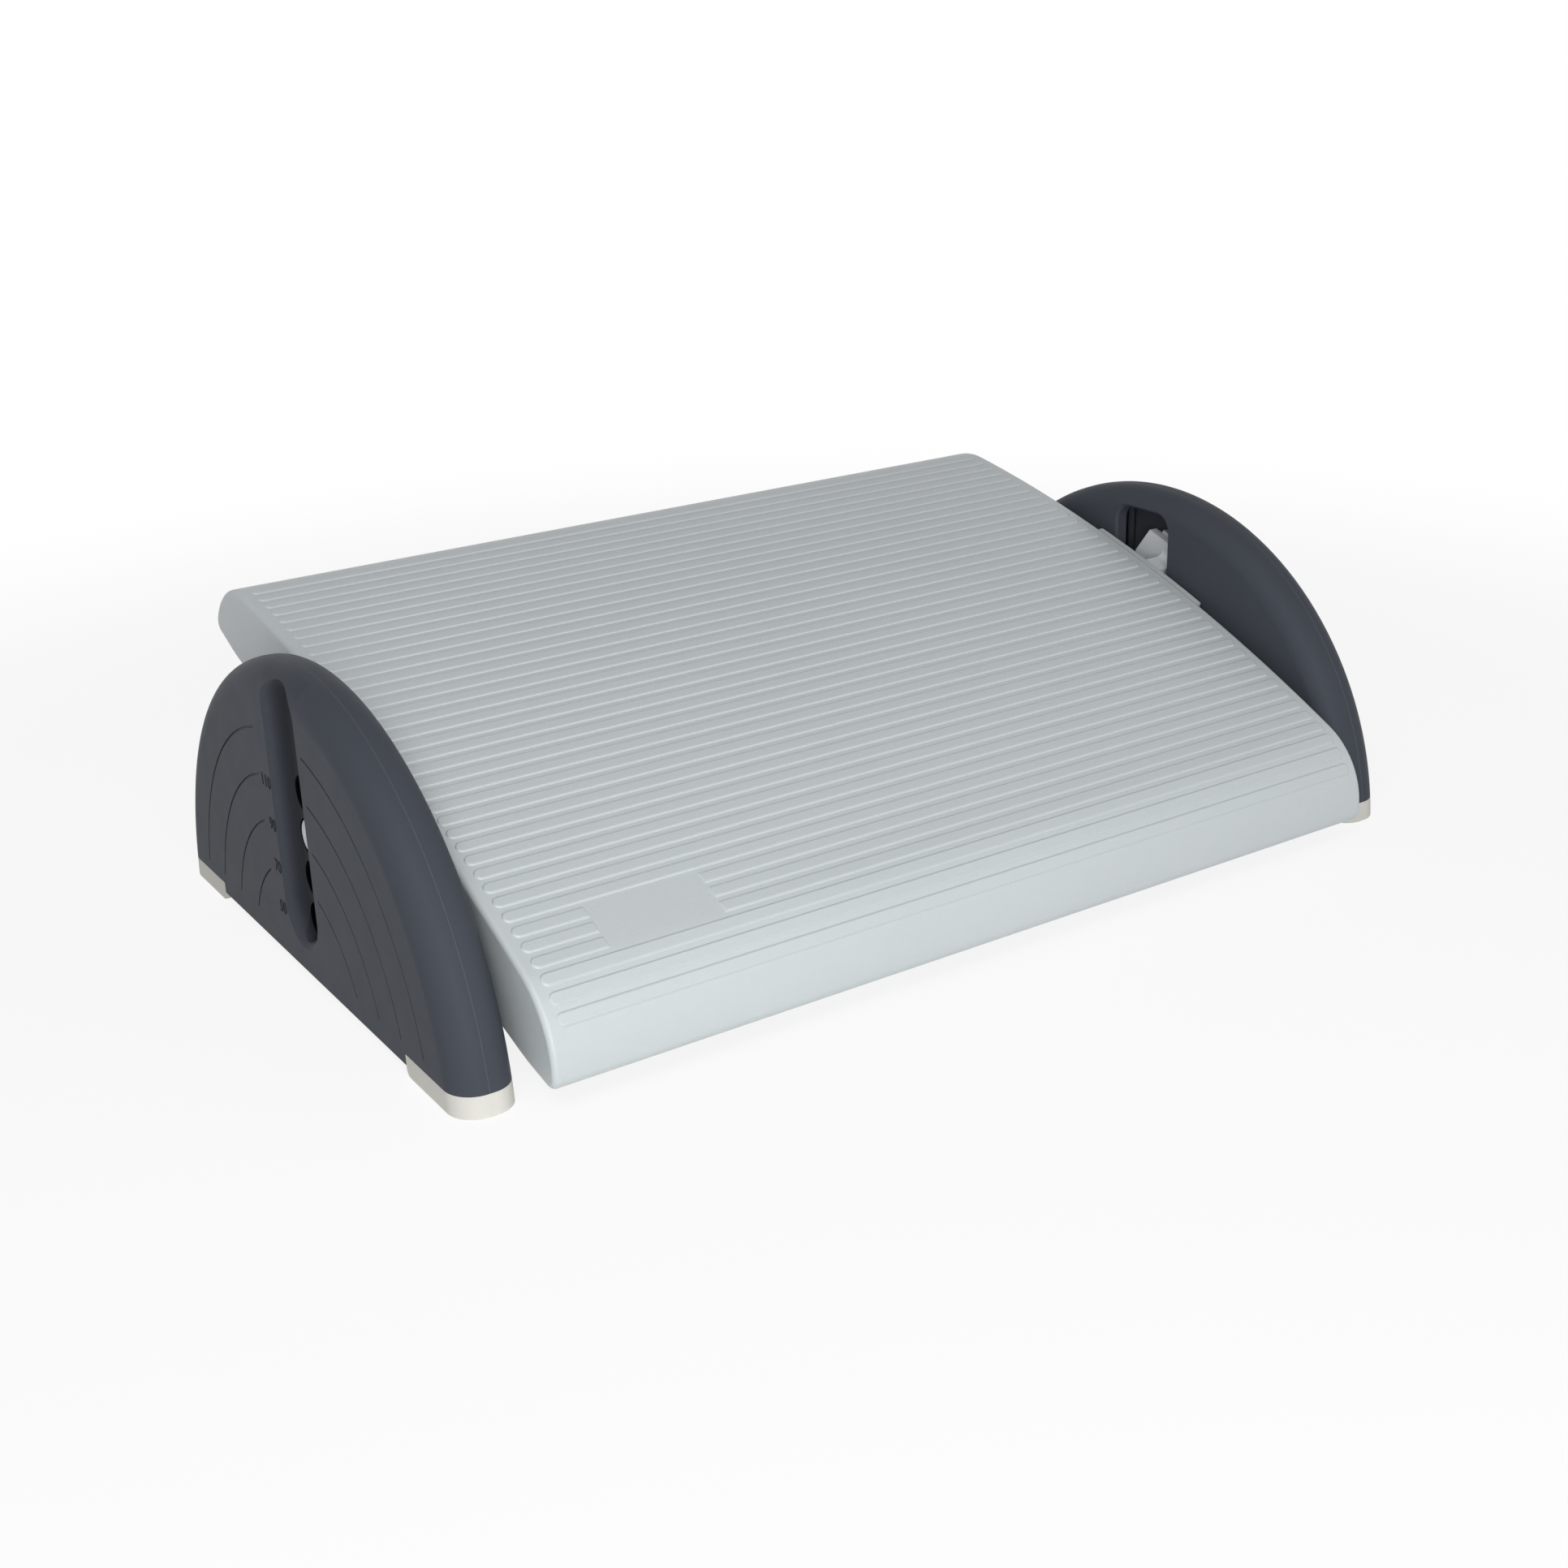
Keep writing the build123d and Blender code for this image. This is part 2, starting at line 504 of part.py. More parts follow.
# Outer shell: the outer half of a support, with the finger channel and the height holes.
# The cavity leaves the foot seats, screw bosses, guide ribs and the channel's back standing.
cavity_radius = DOME_RADIUS - SHELL_WALL
cavity_bottom = SHELL_BOTTOM + SHELL_WALL
half_depth = panel_outer_x - panel_middle_x
hole_heights = [LOWEST_HOLE_Z + hole * HOLE_PITCH for hole in range(HOLE_COUNT)]
channel_ends = (CHANNEL_BOTTOM_Z + CHANNEL_WIDTH / 2, CHANNEL_TOP_Z - CHANNEL_WIDTH / 2)
with BuildPart() as outer_cavity:
    extrude(dome_outline(panel_middle_x, cavity_radius, cavity_bottom), amount=half_depth - SHELL_WALL)
    crown_edge = outer_cavity.faces().sort_by(Axis.X)[-1].edges().filter_by(GeomType.CIRCLE)
    fillet(crown_edge, OUTER_EDGE_RADIUS - SHELL_WALL)
    extrude(foot_seats(panel_middle_x, SHELL_WALL), amount=half_depth, mode=Mode.SUBTRACT)
    with BuildSketch(PANEL.offset(panel_middle_x)):
        with Locations(*SHELL_SCREW_PLACES):
            Circle(BOSS_DIAMETER / 2)
    extrude(amount=half_depth, mode=Mode.SUBTRACT)
    with BuildSketch(PANEL.offset(channel_back_x)):
        Rectangle(CHANNEL_WIDTH + 2 * SHELL_WALL, 4 * DOME_RADIUS)
        with Locations((-GUIDE_RIB_Y, GUIDE_RIB_TOP_Z), (GUIDE_RIB_Y, GUIDE_RIB_TOP_Z)):
            Rectangle(GUIDE_RIB_THICKNESS, GUIDE_RIB_TOP_Z, align=(Align.CENTER, Align.MAX))
    extrude(amount=CHANNEL_DEPTH + CHANNEL_FLOOR, mode=Mode.SUBTRACT)

with BuildPart() as channel_cut:
    extrude(channel_section(channel_ends[0]), amount=channel_ends[1] - channel_ends[0])
    mirror(about=PANEL_CENTRE)
    for end_z in channel_ends:
        end_axis = Axis((panel_outer_x, pivot_y, end_z), (1, 0, 0))
        revolve(channel_section(end_z), axis=end_axis, revolution_arc=360)

with BuildPart() as outer_shell:
    extrude(dome_outline(panel_middle_x, DOME_RADIUS, SHELL_BOTTOM), amount=half_depth)
    crown_edge = outer_shell.faces().sort_by(Axis.X)[-1].edges().filter_by(GeomType.CIRCLE)
    fillet(crown_edge, OUTER_EDGE_RADIUS)
    parting_edge = outer_shell.faces().sort_by(Axis.X)[0].edges().filter_by(GeomType.CIRCLE)
    chamfer(parting_edge, PARTING_CHAMFER)
    with BuildSketch(PANEL_OUTSIDE):
        with Locations((0, DOME_CENTRE_Z)):
            for radius in sorted(ARC_RADII, reverse=True):
                Circle(radius + ARC_WIDTH / 2)
                Circle(radius - ARC_WIDTH / 2, mode=Mode.SUBTRACT)
        with Locations(((ARC_START_FRONT - ARC_START_REAR) / 2, 0)):
            Rectangle(ARC_START_FRONT + ARC_START_REAR, 3 * DOME_RADIUS, mode=Mode.SUBTRACT)
        with Locations((0, ARC_FOOT_Z)):
            Rectangle(
                3 * DOME_RADIUS,
                3 * DOME_RADIUS,
                align=(Align.CENTER, Align.MAX),
                mode=Mode.SUBTRACT,
            )
    extrude(amount=ARC_DEPTH, mode=Mode.SUBTRACT)
    add(channel_cut.part, mode=Mode.SUBTRACT)
    add(outer_cavity.part, mode=Mode.SUBTRACT)
    extrude(foot_seats(panel_middle_x, 0), amount=half_depth, mode=Mode.SUBTRACT)
    with BuildSketch(PANEL.offset(channel_back_x)):
        with Locations(*[(0, height) for height in hole_heights]):
            Circle(HOLE_DIAMETER / 2)
    extrude(amount=CHANNEL_FLOOR + CHANNEL_DEPTH, mode=Mode.SUBTRACT)
    with BuildSketch(PANEL.offset(channel_back_x)):
        with Locations((0, (hole_heights[0] + hole_heights[-1]) / 2)):
            SlotCenterToCenter(hole_heights[-1] - hole_heights[0], HOLE_DIAMETER, rotation=90)
    extrude(amount=CHANNEL_FLOOR - PIN_TRACK_FLOOR, mode=Mode.SUBTRACT)
    with BuildSketch(PANEL.offset(panel_middle_x)):
        with Locations(*SHELL_SCREW_PLACES):
            Circle(SCREW_SHANK / 2 + FIT_GAP)
    extrude(amount=SHELL_SCREW_BITE + FIT_GAP, mode=Mode.SUBTRACT)
    with BuildSketch(Plane.XY.offset(FOOT_HEIGHT)):
        with Locations(peg_places()[1], (peg_places()[1][0], 2 * pivot_y - peg_places()[1][1])):
            Circle(FOOT_PEG / 2 + FIT_GAP)
    extrude(amount=FOOT_PEG_LENGTH, mode=Mode.SUBTRACT)
keep_pair(outer_shell, "outer_shell")

# Inner shell: the inner half of a support, with the window that the deck's arm runs in
with BuildPart() as inner_cavity:
    extrude(
        dome_outline(panel_inner_x + SHELL_WALL, cavity_radius, cavity_bottom),
        amount=half_depth - SHELL_WALL,
    )
    crown_edge = inner_cavity.faces().sort_by(Axis.X)[0].edges().filter_by(GeomType.CIRCLE)
    fillet(crown_edge, INNER_EDGE_RADIUS - SHELL_WALL)
    extrude(foot_seats(panel_inner_x, SHELL_WALL), amount=half_depth, mode=Mode.SUBTRACT)
    with BuildSketch(PANEL.offset(panel_inner_x)):
        with Locations(*SHELL_SCREW_PLACES):
            Circle(BOSS_DIAMETER / 2)
    extrude(amount=half_depth, mode=Mode.SUBTRACT)
    extrude(window_outline(JAMB_WALL), amount=WINDOW_JAMB, mode=Mode.SUBTRACT)

with BuildPart() as inner_shell:
    extrude(dome_outline(panel_inner_x, DOME_RADIUS, SHELL_BOTTOM), amount=half_depth)
    crown_edge = inner_shell.faces().sort_by(Axis.X)[0].edges().filter_by(GeomType.CIRCLE)
    fillet(crown_edge, INNER_EDGE_RADIUS)
    parting_edge = inner_shell.faces().sort_by(Axis.X)[-1].edges().filter_by(GeomType.CIRCLE)
    chamfer(parting_edge, PARTING_CHAMFER)
    add(inner_cavity.part, mode=Mode.SUBTRACT)
    extrude(foot_seats(panel_inner_x, 0), amount=half_depth, mode=Mode.SUBTRACT)
    extrude(window_outline(0), amount=WINDOW_JAMB, mode=Mode.SUBTRACT)
    extrude(
        window_outline(WINDOW_CHAMFER),
        amount=WINDOW_CHAMFER,
        taper=WINDOW_CHAMFER_ANGLE,
        mode=Mode.SUBTRACT,
    )
    with BuildSketch(PANEL.offset(panel_inner_x)):
        with Locations(*SHELL_SCREW_PLACES):
            Circle(SCREW_SHANK / 2 + FIT_GAP)
    extrude(amount=half_depth, mode=Mode.SUBTRACT)
    with BuildSketch(PANEL.offset(panel_inner_x)):
        with Locations(*SHELL_SCREW_PLACES):
            Circle(SCREW_HEAD / 2 + FIT_GAP)
    extrude(amount=SHELL_SCREW_RECESS, mode=Mode.SUBTRACT)
    with BuildSketch(Plane.XY.offset(FOOT_HEIGHT)):
        with Locations(peg_places()[0], (peg_places()[0][0], 2 * pivot_y - peg_places()[0][1])):
            Circle(FOOT_PEG / 2 + FIT_GAP)
    extrude(amount=FOOT_PEG_LENGTH, mode=Mode.SUBTRACT)
keep_pair(inner_shell, "inner_shell")

# Shell screws: sunk into the inner shell, they hold the two halves together
screw_head_x = panel_inner_x + SHELL_SCREW_RECESS
with BuildPart() as shell_screws:
    with BuildSketch(PANEL.offset(screw_head_x)):
        with Locations(*SHELL_SCREW_PLACES):
            Circle(SCREW_HEAD / 2)
    extrude(amount=-SCREW_HEAD_HEIGHT)
    with BuildSketch(PANEL.offset(screw_head_x)):
        with Locations(*SHELL_SCREW_PLACES):
            Circle(SCREW_SHANK / 2)
    extrude(amount=panel_middle_x + SHELL_SCREW_BITE - screw_head_x)
keep_pair(shell_screws, "shell_screws")

# Feet: rubber ends that carry on the support's rounded outline down to the floor
with BuildPart() as front_foot:
    extrude(dome_outline(panel_inner_x, DOME_RADIUS, 0), amount=PANEL_THICKNESS)
    fillet(front_foot.faces().sort_by(Axis.X)[-1].edges().filter_by(GeomType.CIRCLE), OUTER_EDGE_RADIUS)
    fillet(front_foot.faces().sort_by(Axis.X)[0].edges().filter_by(GeomType.CIRCLE), INNER_EDGE_RADIUS)
    with BuildSketch(PANEL.offset(panel_inner_x)):
        with Locations((-foot_inner_y, 0)):
            Rectangle(DOME_RADIUS, FOOT_HEIGHT, align=(Align.MAX, Align.MIN))
    extrude(amount=PANEL_THICKNESS, mode=Mode.INTERSECT)
    inner_end = front_foot.faces().sort_by(Axis.Y)[-1]
    fillet(inner_end.edges().sort_by(Axis.Z)[0], FOOT_END_RADIUS)
    with BuildSketch(Plane.XY.offset(FOOT_HEIGHT)):
        with Locations(*peg_places()):
            Circle(FOOT_PEG / 2)
    extrude(amount=FOOT_PEG_LENGTH)
keep_pair(front_foot, "front_foot")

with BuildPart() as rear_foot:
    mirror(front_foot.part, about=PANEL_CENTRE)
keep_pair(rear_foot, "rear_foot")
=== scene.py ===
import json
from math import asin, atan2, cos, pi, radians, sin, sqrt

import bmesh
import bpy
from mathutils import Matrix, Vector


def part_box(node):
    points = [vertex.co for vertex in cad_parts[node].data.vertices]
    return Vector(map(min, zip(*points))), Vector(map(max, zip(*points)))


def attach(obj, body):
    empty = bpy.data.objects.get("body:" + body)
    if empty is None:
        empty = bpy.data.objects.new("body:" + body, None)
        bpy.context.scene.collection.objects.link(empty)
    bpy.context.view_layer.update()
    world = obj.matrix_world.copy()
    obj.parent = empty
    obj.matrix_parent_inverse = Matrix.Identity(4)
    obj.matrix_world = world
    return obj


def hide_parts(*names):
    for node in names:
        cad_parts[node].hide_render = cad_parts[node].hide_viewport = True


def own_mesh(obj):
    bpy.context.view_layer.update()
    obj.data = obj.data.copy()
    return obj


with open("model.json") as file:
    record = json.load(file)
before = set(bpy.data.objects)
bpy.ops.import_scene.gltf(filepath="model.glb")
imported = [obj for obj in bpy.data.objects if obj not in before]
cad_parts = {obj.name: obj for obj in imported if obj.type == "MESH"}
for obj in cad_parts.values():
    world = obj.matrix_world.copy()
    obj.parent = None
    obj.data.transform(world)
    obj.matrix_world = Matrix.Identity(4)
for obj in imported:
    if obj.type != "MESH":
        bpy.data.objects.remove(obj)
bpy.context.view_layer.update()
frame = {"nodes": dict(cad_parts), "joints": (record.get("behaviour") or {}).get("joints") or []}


# Side supports: each is an outer and an inner half shell, injection moulded in anthracite plastic,
# with a fine spark-eroded grain and a satin sheen. The halves meet along the middle of the crown.
SIDES = {"left": -1, "right": 1}
SUPPORT_COLOUR = (0.057, 0.064, 0.078, 1.0)
SUPPORT_ROUGHNESS = 0.48
SUPPORT_GLOSS = 0.05
SUPPORT_GRAIN = 0.00003
GRAIN_DETAIL = 3.0
CLOUD_SCALE = 11.0
CLOUD_DETAIL = 4.0
PATCH_SCALE = 70.0
PATCH_DETAIL = 3.0
NOISE_MIDDLE = 0.5
# Painted shade in the outer shells' finger channel: their colour darkens towards the channel's floor and
# goes black on the holes' walls.
CHANNEL_DEPTH = 0.0072
CHANNEL_WIDTH = 0.0405
CHANNEL_FLOOR = 0.0025
CHANNEL_RIM = 0.0004
CHANNEL_RUN_OUT = 0.012
CHANNEL_PAINTED_SHADE = 0.55
HOLE_RIM = 0.0003
HOLE_PAINTED_SHADE = 0.45
nodes = frame["nodes"]


def math_node(tree, operation, *values):
    """The result of a math node. Each value is a number or a socket of the same tree."""
    node = tree.nodes.new("ShaderNodeMath")
    node.operation = operation
    for socket, value in zip(node.inputs, values):
        if isinstance(value, bpy.types.NodeSocket):
            tree.links.new(value, socket)
        else:
            socket.default_value = value
    return node.outputs[0]


def soft_step(tree, value, start, end, first, last):
    """A value that goes softly from first to last while another goes from start to end."""
    step = tree.nodes.new("ShaderNodeMapRange")
    step.interpolation_type = "SMOOTHSTEP"
    step.inputs["From Min"].default_value = start
    step.inputs["From Max"].default_value = end
    step.inputs["To Min"].default_value = first
    step.inputs["To Max"].default_value = last
    tree.links.new(value, step.inputs["Value"])
    return step.outputs["Result"]


def moulded_grain_group():
    """Shader group for moulded surfaces: fine grain, slow changes of tone and patches of polish."""
    group = bpy.data.node_groups.new("moulded_grain", "ShaderNodeTree")
    for name in ("Grain Scale", "Tone Change", "Base Roughness", "Roughness Change"):
        group.interface.new_socket(name, in_out="INPUT", socket_type="NodeSocketFloat")
    for name in ("Height", "Tone", "Roughness"):
        group.interface.new_socket(name, in_out="OUTPUT", socket_type="NodeSocketFloat")
    link = group.links.new
    inputs = group.nodes.new("NodeGroupInput")
    outputs = group.nodes.new("NodeGroupOutput")
    place = group.nodes.new("ShaderNodeTexCoord")

    def noise(detail):
        """A noise on the piece's own coordinates."""
        texture = group.nodes.new("ShaderNodeTexNoise")
        texture.inputs["Detail"].default_value = detail
        link(place.outputs["Object"], texture.inputs["Vector"])
        return texture

    grain = noise(GRAIN_DETAIL)
    link(inputs.outputs["Grain Scale"], grain.inputs["Scale"])
    link(grain.outputs["Fac"], outputs.inputs["Height"])
    clouds = noise(CLOUD_DETAIL)
    clouds.inputs["Scale"].default_value = CLOUD_SCALE
    cloud_change = math_node(group, "SUBTRACT", clouds.outputs["Fac"], NOISE_MIDDLE)
    tone = math_node(group, "MULTIPLY_ADD", cloud_change, inputs.outputs["Tone Change"], 1.0)
    link(tone, outputs.inputs["Tone"])
    patches = noise(PATCH_DETAIL)
    patches.inputs["Scale"].default_value = PATCH_SCALE
    patch_change = math_node(group, "SUBTRACT", patches.outputs["Fac"], NOISE_MIDDLE)
    roughness = math_node(
        group,
        "MULTIPLY_ADD",
        patch_change,
        inputs.outputs["Roughness Change"],
        inputs.outputs["Base Roughness"],
    )
    link(roughness, outputs.inputs["Roughness"])
    return group


moulded_grain = moulded_grain_group()


def grained_finish(
    name,
    colour,
    roughness,
    grain_depth,
    grain_scale=2600.0,
    tone_change=0.10,
    polish_change=0.12,
    gloss=0.5,
    metal=0.0,
    painted_shading=None,
):
    """One colour with a fine grain and a slightly uneven polish, with painted shade where a painted shade
    group darkens it.
    """
    material = bpy.data.materials.new(name)
    material.use_nodes = True
    tree = material.node_tree
    shader = tree.nodes["Principled BSDF"]
    shader.inputs["Specular IOR Level"].default_value = gloss
    shader.inputs["Metallic"].default_value = metal
    surface = tree.nodes.new("ShaderNodeGroup")
    surface.node_tree = moulded_grain
    surface.inputs["Grain Scale"].default_value = grain_scale
    surface.inputs["Tone Change"].default_value = tone_change
    surface.inputs["Base Roughness"].default_value = roughness
    surface.inputs["Roughness Change"].default_value = polish_change
    tone = surface.outputs["Tone"]
    # Painted shade: the tone is multiplied by the painted shade group, where one is given.
    if painted_shading is not None:
        shade = tree.nodes.new("ShaderNodeGroup")
        shade.node_tree = painted_shading
        tone = math_node(tree, "MULTIPLY", tone, shade.outputs["Shade"])
    tint = tree.nodes.new("ShaderNodeHueSaturation")
    tint.inputs["Color"].default_value = colour
    bump = tree.nodes.new("ShaderNodeBump")
    bump.inputs["Strength"].default_value = 1.0
    bump.inputs["Distance"].default_value = grain_depth
    tree.links.new(tone, tint.inputs["Value"])
    tree.links.new(tint.outputs["Color"], shader.inputs["Base Color"])
    tree.links.new(surface.outputs["Roughness"], shader.inputs["Roughness"])
    tree.links.new(surface.outputs["Height"], bump.inputs["Height"])
    tree.links.new(bump.outputs["Normal"], shader.inputs["Normal"])
    return material


def finish_nodes(material, *names):
    """Give CAD nodes their finish."""
    for name in names:
        nodes[name].data.materials.clear()
        nodes[name].data.materials.append(material)


def channel_shade_group(face_x, middle_y, top_z):
    """Shader group for the outer shells: painted shade, darker from the finger channel's rim down to its
    floor and black on the walls of its holes.
    """
    group = bpy.data.node_groups.new("painted_channel_shade", "ShaderNodeTree")
    group.interface.new_socket("Shade", in_out="OUTPUT", socket_type="NodeSocketFloat")
    outputs = group.nodes.new("NodeGroupOutput")
    place = group.nodes.new("ShaderNodeTexCoord")
    axes = group.nodes.new("ShaderNodeSeparateXYZ")
    group.links.new(place.outputs["Object"], axes.inputs["Vector"])
    floor_x = face_x - CHANNEL_DEPTH
    back_x = floor_x - CHANNEL_FLOOR
    rim_y = CHANNEL_WIDTH / 2
    distance_x = math_node(group, "ABSOLUTE", axes.outputs["X"])
    distance_y = math_node(group, "ABSOLUTE", math_node(group, "SUBTRACT", axes.outputs["Y"], middle_y))
    channel = soft_step(group, distance_x, floor_x, face_x - CHANNEL_RIM, CHANNEL_PAINTED_SHADE, 0.0)
    holes = soft_step(group, distance_x, floor_x - HOLE_RIM, floor_x, HOLE_PAINTED_SHADE, 0.0)
    across = soft_step(group, distance_y, rim_y, rim_y + CHANNEL_RIM, 1.0, 0.0)
    below_top = soft_step(group, axes.outputs["Z"], top_z - CHANNEL_RUN_OUT, top_z, 1.0, 0.0)
    before_back = soft_step(group, distance_x, back_x, back_x + HOLE_RIM, 0.0, 1.0)
    dark = math_node(group, "ADD", channel, holes)
    for limit in (across, below_top, before_back):
        dark = math_node(group, "MULTIPLY", dark, limit)
    group.links.new(math_node(group, "SUBTRACT", 1.0, dark), outputs.inputs["Shade"])
    return group


shell_low, shell_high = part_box("right_outer_shell")
shell_middle_y = (shell_low.y + shell_high.y) / 2
# The outer shells' finish carries the painted shade of the finger channel and its holes.
painted_channel_shade = channel_shade_group(shell_high.x, shell_middle_y, shell_high.z)
support_plastic = grained_finish(
    "support_plastic", SUPPORT_COLOUR, SUPPORT_ROUGHNESS, SUPPORT_GRAIN, gloss=SUPPORT_GLOSS
)
outer_plastic_painted_shade = grained_finish(
    "outer_plastic_painted_shade",
    SUPPORT_COLOUR,
    SUPPORT_ROUGHNESS,
    SUPPORT_GRAIN,
    gloss=SUPPORT_GLOSS,
    painted_shading=painted_channel_shade,
)
for side in SIDES:
    finish_nodes(outer_plastic_painted_shade, f"{side}_outer_shell")
    finish_nodes(support_plastic, f"{side}_inner_shell")


# Flash lines: the fine raised line of the same plastic where the two half shells of a support meet.
# Left by the mould, each follows the crown from foot to foot; its lighter colour is a painted highlight.
# Painted highlight: the flash line's colour is lighter than the shells' own colour.
FLASH_PAINTED_HIGHLIGHT_COLOUR = (0.085, 0.092, 0.105, 1.0)
FLASH_RADIUS = 0.00030
FLASH_STEPS = 160
WIRE_SIDES = 8
DOME_RADIUS = 0.155
FOOT_TOP = 0.0052
flash_painted_highlight = grained_finish(
    "flash_painted_highlight", FLASH_PAINTED_HIGHLIGHT_COLOUR, SUPPORT_ROUGHNESS, SUPPORT_GRAIN, gloss=SUPPORT_GLOSS
)


def end_x(low, high, way):
    """The end of a box that faces one way: left is -1 and right is 1."""
    return high.x if way > 0 else low.x


def wire_ring(name, radius, place):
    """A small ring in edit mode, from which a thin round line is swept."""
    bpy.ops.object.select_all(action="DESELECT")
    bpy.ops.mesh.primitive_circle_add(vertices=WIRE_SIDES, radius=radius, fill_type="NOTHING")
    ring = bpy.context.object
    ring.name = name
    bpy.ops.object.mode_set(mode="EDIT")
    bpy.ops.mesh.select_all(action="SELECT")
    bpy.ops.transform.translate(value=place)
    return ring


for side, outwards in SIDES.items():
    shell_low, shell_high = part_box(f"{side}_outer_shell")
    parting_x = end_x(shell_low, shell_high, -outwards)
    middle_y = (shell_low.y + shell_high.y) / 2
    dome_z = shell_high.z - DOME_RADIUS
    foot_z = shell_low.z + FOOT_TOP
    start_y = sqrt((DOME_RADIUS - FLASH_RADIUS / 2) ** 2 - (foot_z - dome_z) ** 2)
    flash = wire_ring(f"{side}_flash_line", FLASH_RADIUS, (parting_x, middle_y + start_y, foot_z))
    bpy.ops.mesh.spin(
        steps=FLASH_STEPS,
        angle=2 * atan2(start_y, foot_z - dome_z),
        center=(parting_x, middle_y, dome_z),
        axis=(-1, 0, 0),
    )
    bpy.ops.mesh.select_all(action="SELECT")
    bpy.ops.mesh.normals_make_consistent(inside=False)
    bpy.ops.object.mode_set(mode="OBJECT")
    bpy.ops.object.shade_smooth()
    flash.data.materials.append(flash_painted_highlight)
    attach(flash, "supports")


# Feet: warm light grey rubber ends, pressed into the lower corners of the supports by two pegs each.
# They are matt and a little dusty to the touch, and carry on the rounded outline of the support.
FOOT_COLOUR = (0.62, 0.61, 0.57, 1.0)
FOOT_ROUGHNESS = 0.72
FOOT_GRAIN = 0.00004
FOOT_GRAIN_SCALE = 1900.0
foot_rubber = grained_finish(
    "foot_rubber", FOOT_COLOUR, FOOT_ROUGHNESS, FOOT_GRAIN, grain_scale=FOOT_GRAIN_SCALE
)
for side in SIDES:
    finish_nodes(foot_rubber, f"{side}_front_foot", f"{side}_rear_foot")


# Shell screws: blackened steel, sunk into the inner shells, which they hold to the outer shells.
# Arm screws: zinc plated steel, dull and slightly streaked by the plating bath, inside the deck.
STEEL_GRAIN = 0.00001
STEEL_GRAIN_SCALE = 900.0
BLACK_STEEL_COLOUR = (0.045, 0.046, 0.048, 1.0)
BLACK_STEEL_ROUGHNESS = 0.45
ZINC_COLOUR = (0.56, 0.56, 0.54, 1.0)
ZINC_ROUGHNESS = 0.34
ZINC_TONE_CHANGE = 0.25
ZINC_POLISH_CHANGE = 0.3
black_steel = grained_finish(
    "black_steel",
    BLACK_STEEL_COLOUR,
    BLACK_STEEL_ROUGHNESS,
    STEEL_GRAIN,
    grain_scale=STEEL_GRAIN_SCALE,
    metal=1.0,
)
zinc_steel = grained_finish(
    "zinc_steel",
    ZINC_COLOUR,
    ZINC_ROUGHNESS,
    STEEL_GRAIN,
    grain_scale=STEEL_GRAIN_SCALE,
    tone_change=ZINC_TONE_CHANGE,
    polish_change=ZINC_POLISH_CHANGE,
    metal=1.0,
)
for side in SIDES:
    finish_nodes(black_steel, f"{side}_shell_screws")
    finish_nodes(zinc_steel, f"{side}_arm_screws")


# Guide shoes, their plates and the friction washers: dark low-friction plastic, clamped round the
# edge of the window. They run up and down in it and carry the deck's pivot.
SHOE_COLOUR = (0.028, 0.030, 0.033, 1.0)
SHOE_ROUGHNESS = 0.36
SHOE_GRAIN = 0.00002
shoe_plastic = grained_finish("shoe_plastic", SHOE_COLOUR, SHOE_ROUGHNESS, SHOE_GRAIN)
for side in SIDES:
    finish_nodes(shoe_plastic, f"{side}_guide_shoe", f"{side}_shoe_plate", f"{side}_friction_washer")


# Arms: light grey moulded tubes with a flange, screwed behind the deck's side walls. The heads sit
# on their outer ends inside the supports, and the caps close their inner ends.
ARM_COLOUR = (0.64, 0.67, 0.70, 1.0)
ARM_ROUGHNESS = 0.42
ARM_GRAIN = 0.00003
arm_plastic = grained_finish("arm_plastic", ARM_COLOUR, ARM_ROUGHNESS, ARM_GRAIN)
for side in SIDES:
    finish_nodes(arm_plastic, f"{side}_pivot_arm", f"{side}_arm_head", f"{side}_spring_cap")


# Lock buttons: light grey plastic pins with a rounded rim and a collar, sprung out into the height
# holes. A finger in the channel presses them in to change the height. Their faces lie level with
# the channel's floor.
BUTTON_DIAMETER = 0.016
BUTTON_SIDES = 64
BUTTON_RIM = 0.0011
BUTTON_RIM_STEPS = 4
BUTTON_DISH = 0.0004
BUTTON_SHY = 0.0001
BUTTON_CREASE = radians(35)
COLLAR_THICKNESS = 0.0024
FACING = 0.9
SQUARE_TO = 0.99


def select_faces(piece, wanted):
    """In edit mode, select only the faces whose normal is wanted."""
    bpy.ops.mesh.select_mode(type="FACE")
    bpy.ops.mesh.select_all(action="DESELECT")
    mesh = bmesh.from_edit_mesh(piece.data)
    for face in mesh.faces:
        if wanted(face.normal):
            face.select_set(True)
    bmesh.update_edit_mesh(piece.data)


def extrude_by(x, y, z):
    """In edit mode, extrude what is selected by a distance along each axis."""
    bpy.ops.mesh.extrude_region_move(TRANSFORM_OT_translate={"value": (x, y, z)})


